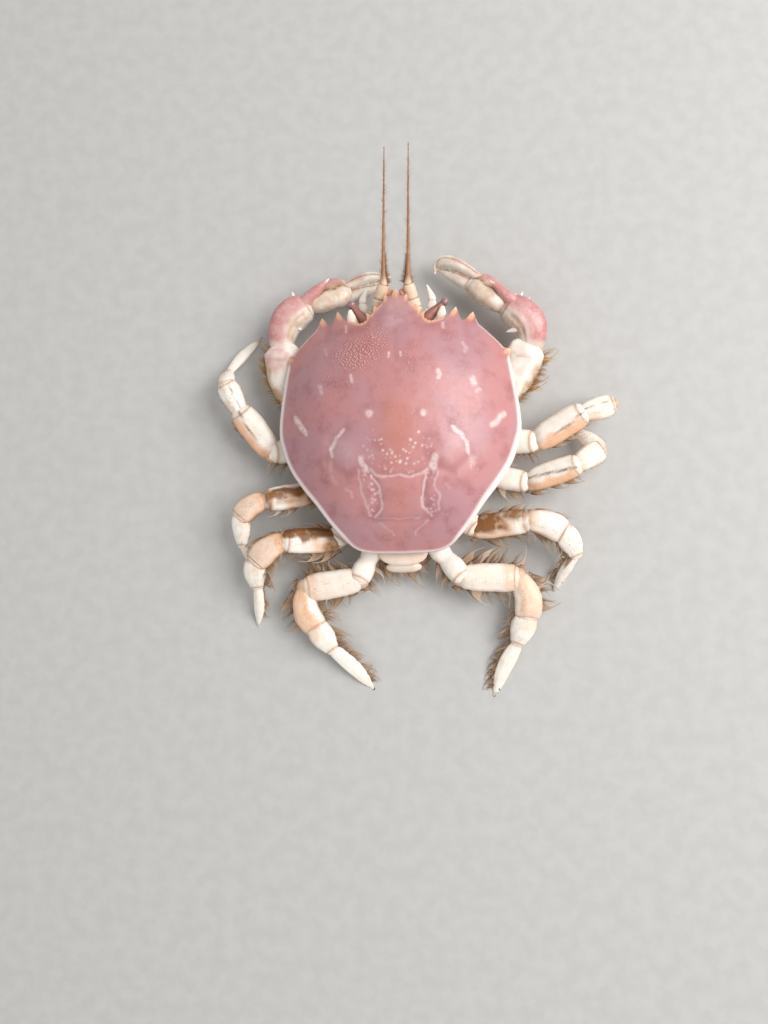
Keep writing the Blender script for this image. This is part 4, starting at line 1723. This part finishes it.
def fringe_limb(hairs, limb, row, tile, tiles, draw):
    """Short single bristles along the faces of a limb, leaning towards its end."""
    faces, first, last, count, length, width, sweep = row
    rings = limb.grid.shape[0]
    order = np.argsort(limb.place[:, 0])
    places = limb.place[order, 0]
    for _ in range(count):
        place = draw.uniform(first, last)
        ring = order[min(int(np.searchsorted(places, place)), rings - 1)]
        face = draw.choice(faces) + draw.gauss(0, 9)
        column = int(np.argmin(np.abs((limb.face[ring] - face + 180) % 360 - 180)))
        root = limb.grid[ring, column]
        out = limb.outward[ring, column]
        ahead = unit(limb.grid[min(ring + 1, rings - 1), column] - limb.grid[max(ring - 1, 0), column])
        lean = math.radians(sweep + draw.uniform(-14, 14))
        reach = length * draw.uniform(0.6, 1.25)
        tip = root + (out * math.cos(lean) + ahead * math.sin(lean)) * reach
        hairs.add(root - out * 0.08, tip, ahead, width * draw.uniform(0.7, 1.2),
                  bake_spot(tile, tiles, place, face), draw.uniform(0.2, 0.9))


def joint_ball(limb):
    """The soft skin that fills the joint where a limb's segment starts."""
    centre, along, _, _ = (part[0] for part in path_frames(limb.path, [0.05]))
    made = ball(centre, along, (limb.size[0] * 0.66, limb.size[0] * 0.6, limb.size[1] * 0.66), 14, 24)
    made["values"]["skin"] = np.zeros(len(made["points"]))
    return made


def colour_setting(name, description, colour):
    """A colour that a user can change, given as an sRGB hex colour."""
    return FloatVectorProperty(
        name=name, description=description, default=srgb(colour)[:3],
        size=3, subtype="COLOR", min=0, max=1)


class CrabShellLook(bpy.types.PropertyGroup):
    """Colours of the carapace."""

    rose: colour_setting("Rose", "Ground colour of the shell", "#C28482")
    mauve: colour_setting("Mauve", "Cooler ground colour", "#B8878C")
    deep: colour_setting("Deep rose", "Darker clouds and grooves", "#9E5E61")
    warm: colour_setting("Warm", "Orange flush of the middle and front", "#C47B68")
    haze: colour_setting("Under", "Cream of the folded side wall", "#E6CDBE")
    mark: colour_setting("Marks", "Pale lime marks", "#EBD0CC")
    rim: colour_setting("Rim", "White edge", "#F3E6DF")
    tip: colour_setting("Teeth", "Orange tips of the teeth", "#E7AC86")
    lime: colour_setting("Granules", "Rosy lime of the granules", "#C6908B")
    lime_flush: colour_setting("Granule flush", "Flush of some of the granules", "#BA7F76")
    granule: FloatProperty(
        name="Granule width", description="Width of a large granule", default=0.66 * MM,
        unit="LENGTH", subtype="DISTANCE", min=0,
    )


class CrabLimbLook(bpy.types.PropertyGroup):
    """Colours of the limbs, the belly and the eyes."""

    pale: colour_setting("Pale", "Lime-white cuticle", "#F6EDE0")
    peach: colour_setting("Peach", "Flush of the walking legs", "#EBB68E")
    rose: colour_setting("Rose", "Flush of the claws", "#C67B78")
    stain: colour_setting("Stain", "Brown stain under matted bristles", "#8A5A2B")
    tan: colour_setting("Tan", "Tan of the claws' inner faces", "#B98A58")
    crease: colour_setting("Crease", "Dark worn creases and sockets", "#3A221A")
    membrane: colour_setting("Membrane", "Soft skin inside the joints", "#C9A582")
    antenna_base: colour_setting("Antenna base", "Peach flush of the antennal bases", "#E2B896")
    base_ground: colour_setting("Base ground", "Pale ground of the antennal bases", "#F0DCC2")
    lash_ground: colour_setting("Lash ground", "Pale ground of the antennal lashes", "#F4D6BC")
    antenna: colour_setting("Antenna", "Orange-brown of the antennal lashes", "#AE7650")
    stalk: colour_setting("Eyestalk", "Red-brown of the eyestalks", "#B0746A")
    cornea: colour_setting("Cornea", "Dusky mauve of the eyes", "#6E4A50")
    facet: colour_setting("Facets", "Lighter edges of the eyes' facets", "#A58084")


class CrabBristleLook(bpy.types.PropertyGroup):
    """Colours and numbers of the bristles."""

    root: colour_setting("Root", "Dark root of a bristle", "#7A573E")
    tip: colour_setting("Tip", "Amber tip of a bristle", "#B3957A")
    amber: colour_setting("Amber", "Bristles of the arms", "#BC8B55")
    strands: IntProperty(
        name="Strands in a lock", description="Bristles in one matted lock", default=20, min=3)
    seed: IntProperty(name="Seed", description="Seed of the bristles' places", default=12)


class CrabStageLook(bpy.types.PropertyGroup):
    """Floor and light."""

    floor: colour_setting("Floor", "Colour of the floor", "#BBB8B4")
    sky: colour_setting("Sky", "Soft light from all round", "#E9ECEF")
    key: FloatProperty(name="Key", description="Power of the main light", default=6.5, min=0, unit="POWER")
    fill: FloatProperty(
        name="Fill", description="Power of the fill light", default=0.9, min=0, unit="POWER")


# Cuticle of the limbs and the belly: flush, stain, roughness and wet coat
LIMB_FINISHES = {
    "leg cuticle": ("peach", "stain", 0.42, 0.2),
    "claw cuticle": ("rose", "tan", 0.38, 0.3),
    "belly cuticle": ("peach", "stain", 0.48, 0.12),
}


def limb_finish(scene, name):
    """The cuticle of this name, made the first time that it is asked for."""
    look = scene.crab_limbs
    flush, stain, roughness, coat = LIMB_FINISHES[name]
    return bpy.data.materials.get(name) or cuticle_material(
        name, look.pale, getattr(look, flush), getattr(look, stain), look.crease, look.membrane,
        roughness, coat)


class CrabCarapace(bpy.types.Operator):
    """Adds the carapace with its regions, pale marks, teeth and rim"""

    bl_idname = "crab.carapace"
    bl_label = "Add Carapace"

    def execute(self, context):
        scene = context.scene
        shell = carapace_material(scene.crab_shell)
        skins = [carapace_skin(), *orbit_lobes(1)]
        piece = make_piece("carapace_shell", skins, [shell, limb_finish(scene, "leg cuticle")])
        dress(piece, "carapace", "carapace")
        return {"FINISHED"}


class CrabGranules(bpy.types.Operator):
    """Adds the raised granules of the carapace and the beads along its rim"""

    bl_idname = "crab.granules"
    bl_label = "Add Granules"

    def execute(self, context):
        look = context.scene.crab_shell
        tree = bead_tree()
        granule = look.granule / MM
        finish = cuticle_material(
            "granule lime", look.lime, look.lime_flush, look.deep, look.deep, look.warm, 0.34, 0.3)
        vectors, numbers = scattered_granules(granule)
        piece = grow("carapace_granules", tree, vectors, numbers, {"Material": finish, "Sides": 7})
        dress(piece, "carapace")
        finish = cuticle_material(
            "rim lime", look.rim, look.mauve, look.deep, look.deep, look.rim, 0.4, 0.2)
        vectors, numbers = rim_beads(granule)
        piece = grow("carapace_rim_beads", tree, vectors, numbers, {"Material": finish, "Sides": 7})
        dress(piece, "carapace")
        return {"FINISHED"}


class CrabUnderside(bpy.types.Operator):
    """Adds the sternum, the abdomen folded under it, and the block between the orbits"""

    bl_idname = "crab.underside"
    bl_label = "Add Underside"

    def execute(self, context):
        scene = context.scene
        belly = limb_finish(scene, "belly cuticle")
        dress(make_piece("sternum_plates", [thorax_skin()], [belly]), "belly", "thorax")
        dress(make_piece("abdomen_somites", [abdomen_limb().skin_mesh()], [belly]), "belly", "abdomen")
        block = Limb(EPISTOME_PATH, EPISTOME_SIZE, SEGMENT_SHAPE, rings=60, sides=40, end="round", power=3)
        block.lumps(1.5, 0.08, 91)
        skins = [block.skin_mesh()]
        for path in (ANTENNULE_PATH, mirrored(ANTENNULE_PATH)):
            limb = Limb(path, ANTENNULE_SIZE, SEGMENT_SHAPE, rings=40, sides=20, end="round", power=2)
            for place in (0.35, 0.65):
                limb.lift(-0.1 * limb.ring(place, 0.2))
                limb.mark("crease", 0.5 * limb.ring(place, 0.12))
            limb.mark("blush", 1 + 0 * limb.place)
            limb.mark("stain", 0.45 + 0 * limb.place)
            skins.append(limb.skin_mesh())
        dress(make_piece("epistome_plate", skins, [belly]), "belly", "epistome")
        return {"FINISHED"}


class CrabEyes(bpy.types.Operator):
    """Adds both eyestalks with their corneas"""

    bl_idname = "crab.eyes"
    bl_label = "Add Eyes"

    def execute(self, context):
        look = context.scene.crab_limbs
        stalk_finish = cuticle_material(
            "eyestalk cuticle", look.stalk, look.stalk, look.stain, look.crease, look.crease, 0.34, 0.35)
        cornea_finish = cornea_material(look.cornea, look.facet)
        for side_name, side in SIDES:
            stalk, cornea = eye_skins(side_name, side)
            skins = [stalk.skin_mesh(), cornea]
            piece = make_piece(f"eye_and_stalk_{side_name}", skins, [stalk_finish, cornea_finish])
            dress(piece, "eye", f"eye_{side_name}")
        return {"FINISHED"}


class CrabAntennae(bpy.types.Operator):
    """Adds both antennae: jointed bases and ringed lashes"""

    bl_idname = "crab.antennae"
    bl_label = "Add Antennae"

    def execute(self, context):
        scene = context.scene
        look = scene.crab_limbs
        lash_finish = cuticle_material(
            "antenna cuticle", look.lash_ground, look.antenna, look.stain, look.crease, look.crease,
            0.36, 0.3)
        base_finish = cuticle_material(
            "antenna base cuticle", look.base_ground, look.antenna_base, look.antenna, look.crease,
            look.antenna_base, 0.38, 0.25)
        for side_name, side in SIDES:
            base, lash = antenna_limbs(side_name, side)
            piece = make_piece(f"antenna_articles_{side_name}", [base.skin_mesh()], [base_finish])
            dress(piece, "antenna", f"antenna_base_{side_name}")
            piece = make_piece(f"antenna_lash_{side_name}", [lash.skin_mesh()], [lash_finish])
            dress(piece, "antenna", f"antenna_flagellum_{side_name}")
        return {"FINISHED"}


class CrabMouth(bpy.types.Operator):
    """Adds both third maxillipeds with their palps"""

    bl_idname = "crab.mouth"
    bl_label = "Add Mouthparts"

    def execute(self, context):
        finish = limb_finish(context.scene, "leg cuticle")
        for side_name, side in SIDES:
            piece = make_piece(f"maxilliped_plate_{side_name}", mouth_skins(side), [finish])
            dress(piece, "limb", f"maxilliped_{side_name}")
        return {"FINISHED"}


class CrabChelipeds(bpy.types.Operator):
    """Adds both claws: arms, wrists, hands and fingers"""

    bl_idname = "crab.chelipeds"
    bl_label = "Add Claws"

    def execute(self, context):
        finish = limb_finish(context.scene, "claw cuticle")
        for side_name, side in SIDES:
            piece = make_piece(f"claw_arm_{side_name}", [arm_limb(side_name, side).skin_mesh()], [finish])
            dress(piece, "limb", f"arm_{side_name}")
            piece = make_piece(f"claw_wrist_{side_name}", wrist_skins(side_name, side), [finish])
            dress(piece, "claw", f"wrist_{side_name}")
            hand, finger = hand_skins(side_name, side)
            dress(make_piece(f"claw_hand_{side_name}", hand, [finish]), "claw", f"hand_{side_name}")
            dress(make_piece(f"claw_finger_{side_name}", finger, [finish]), "claw", f"finger_{side_name}")
        return {"FINISHED"}


class CrabWalkingLegs(bpy.types.Operator):
    """Adds the eight walking legs, each as one piece of five jointed segments"""

    bl_idname = "crab.walking_legs"
    bl_label = "Add Walking Legs"

    def execute(self, context):
        finish = limb_finish(context.scene, "leg cuticle")
        for leg in LEG_SIZES:
            for side_name, side in SIDES:
                skins = []
                nodes = []
                for segment, path, size, shape, _ in leg_chain(leg, side_name, side):
                    limb = leg_limb(leg, side_name, segment, path, size, shape, side)
                    skins += [limb.skin_mesh(), joint_ball(limb)]
                    nodes.append(f"{leg}_{side_name}_{segment}")
                dress(make_piece(f"{leg}_{side_name}_shell", skins, [finish]), "limb", *nodes)
        return {"FINISHED"}


class CrabBristles(bpy.types.Operator):
    """Adds the matted locks and loose bristles of the legs, arms, antennae and tail"""

    bl_idname = "crab.bristles"
    bl_label = "Add Bristles"

    def execute(self, context):
        scene = context.scene
        look = scene.crab_bristles
        finish = bristle_material("matted bristles", look.root, look.tip, 0.42)
        golden = bristle_material("golden bristles", look.root, look.amber, 0.4)
        tree = strand_tree()
        for leg in LEG_SIZES:
            for side_name, side in SIDES:
                draw = random.Random(look.seed + int(leg[-1]) * 10 + (1 if side > 0 else 2))
                webs, hairs = Coat(), Coat()
                for tile, (segment, path, size, shape, seed) in enumerate(leg_chain(leg, side_name, side)):
                    rows = FRINGES[leg].get(segment, ())
                    for lock in lock_places(path, size, shape, rows, side, seed):
                        comb_lock(webs, hairs, lock, tile, LEG_TILES, draw, look.strands)
                    if segment in HAIRY_SEGMENTS:
                        limb = leg_limb(leg, side_name, segment, path, size, shape, side)
                        fringe_limb(hairs, limb, LEG_HAIRS, tile, LEG_TILES, draw)
                self.finish_coat(f"{leg}_{side_name}", webs, hairs, tree, finish, "limb")
        for side_name, side in SIDES:
            draw = random.Random(look.seed + (101 if side > 0 else 102))
            webs, hairs = Coat(), Coat()
            x, y, z = ARM_ROOT
            path = ((x * side - side, y, z), *CLAW_POSES[side_name]["arm"])
            for lock in lock_places(path, ARM_SIZE, ARM_SHAPE, ARM_FRINGE, side, LOCK_SEED):
                comb_lock(webs, hairs, lock, 0, 1, draw, look.strands)
            fringe_limb(hairs, arm_limb(side_name, side), ARM_HAIRS, 0, 1, draw)
            self.finish_coat(f"arm_{side_name}", webs, hairs, tree, golden, "limb")
            webs, hairs = Coat(), Coat()
            _, lash = antenna_limbs(side_name, side)
            for row in LASH_HAIRS:
                fringe_limb(hairs, lash, row, 0, 1, draw)
            self.finish_coat(f"antenna_{side_name}", webs, hairs, tree, finish, "antenna")
        draw = random.Random(look.seed + 103)
        webs, hairs = Coat(), Coat()
        for root, tip, width in TAIL_LOCKS:
            span = np.array(tip) - root
            lock = {
                "fraction": 0.5 + root[0] / 20, "edge": 1, "root": np.array(root), "width": width,
                "out": unit(span), "wide": unit(span), "along": np.array([1, 0, 0]),
                "curl": np.zeros(3), "length": float(np.linalg.norm(span)),
            }
            comb_lock(webs, hairs, lock, 0, 1, draw, look.strands)
        self.finish_coat("abdomen", webs, hairs, tree, finish, "belly")
        return {"FINISHED"}

    def finish_coat(self, name, webs, hairs, tree, finish, slot):
        """Grows the webs and the strands of one limb."""
        dress(hairs.grow(f"bristles_{name}", tree, {"Material": finish, **STRAND_INPUTS}), slot)
        if webs.tone:
            dress(webs.grow(f"bristle_webs_{name}", tree, {"Material": finish, **WEB_INPUTS}), slot)


class CrabStage(bpy.types.Operator):
    """Adds the floor, the lights and the camera of the photograph's view"""

    bl_idname = "crab.stage"
    bl_label = "Add Stage"

    def execute(self, context):
        scene = context.scene
        look = scene.crab_stage
        material, tree, shader, place = new_material("pale plaster floor", look.floor)
        grain = add_node(tree, "ShaderNodeTexNoise", {"Vector": place, "Scale": 260, "Detail": 4})
        pale = mapped(tree, grain.outputs["Fac"], 0.3, 0.7, 0, 0.07)
        tone = layered(tree, look.floor, ((pale, (1, 1, 1)),))
        set_inputs(tree, shader, {"Base Color": tone, "Roughness": 0.7})
        mesh = bpy.data.meshes.new("floor")
        corners = [(x * FLOOR_REACH, y * FLOOR_REACH, 0) for x, y in ((-1, -1), (1, -1), (1, 1), (-1, 1))]
        mesh.from_pydata(corners, [], [(0, 1, 2, 3)])
        mesh.materials.append(material)
        floor = bpy.data.objects.new("floor", mesh)
        scene.collection.objects.link(floor)
        for name, (size, at) in LIGHTS.items():
            data = bpy.data.lights.new(name, "AREA")
            data.energy = getattr(look, name)
            data.size = size
            light = bpy.data.objects.new(name, data)
            light.location = at
            light.rotation_euler = (-Vector(at)).to_track_quat("-Z", "Y").to_euler()
            scene.collection.objects.link(light)
        world = bpy.data.worlds.new("soft light")
        world.use_nodes = True
        sky = world.node_tree.nodes["Background"]
        set_inputs(world.node_tree, sky, {"Color": (*look.sky, 1), "Strength": SKY_STRENGTH})
        scene.world = world
        scene.view_settings.view_transform = "Standard"
        data = bpy.data.cameras.new("camera")
        data.lens = CAMERA_LENS
        data.clip_start = 0.01
        camera = bpy.data.objects.new("camera", data)
        camera.matrix_world = Matrix.LocRotScale(
            TO_WORLD @ Vector(CAMERA_PLACE), Matrix(CAMERA_AXES).transposed(), None)
        scene.collection.objects.link(camera)
        scene.camera = camera
        return {"FINISHED"}


class CrabPanel(bpy.types.Panel):
    """Sidebar with the crab's colours and pieces"""

    bl_idname = "VIEW3D_PT_crab"
    bl_label = "Crab"
    bl_space_type = "VIEW_3D"
    bl_region_type = "UI"
    bl_category = "Crab"

    def draw(self, context):
        for group in PROPERTY_NAMES:
            settings = getattr(context.scene, group)
            box = self.layout.box()
            for name in settings.bl_rna.properties.keys():
                if name not in ("rna_type", "name"):
                    box.prop(settings, name)
        for operator in OPERATORS:
            self.layout.operator(operator.bl_idname)


PROPERTY_NAMES = {
    "crab_shell": CrabShellLook, "crab_limbs": CrabLimbLook,
    "crab_bristles": CrabBristleLook, "crab_stage": CrabStageLook,
}
OPERATORS = (
    CrabCarapace, CrabGranules, CrabUnderside, CrabEyes, CrabAntennae, CrabMouth, CrabChelipeds,
    CrabWalkingLegs, CrabBristles, CrabStage,
)


def register():
    """Adds the classes and the settings to Blender."""
    for kind in (*PROPERTY_NAMES.values(), *OPERATORS, CrabPanel):
        bpy.utils.register_class(kind)
    for name, kind in PROPERTY_NAMES.items():
        setattr(bpy.types.Scene, name, PointerProperty(type=kind))


def unregister():
    """Takes the settings and the classes away again."""
    for name in PROPERTY_NAMES:
        delattr(bpy.types.Scene, name)
    for kind in reversed((*PROPERTY_NAMES.values(), *OPERATORS, CrabPanel)):
        bpy.utils.unregister_class(kind)


def main():
    """Builds every piece in order."""
    register()
    for operator in OPERATORS:
        area, name = operator.bl_idname.split(".")
        getattr(getattr(bpy.ops, area), name)()


if __name__ == "__main__":
    main()
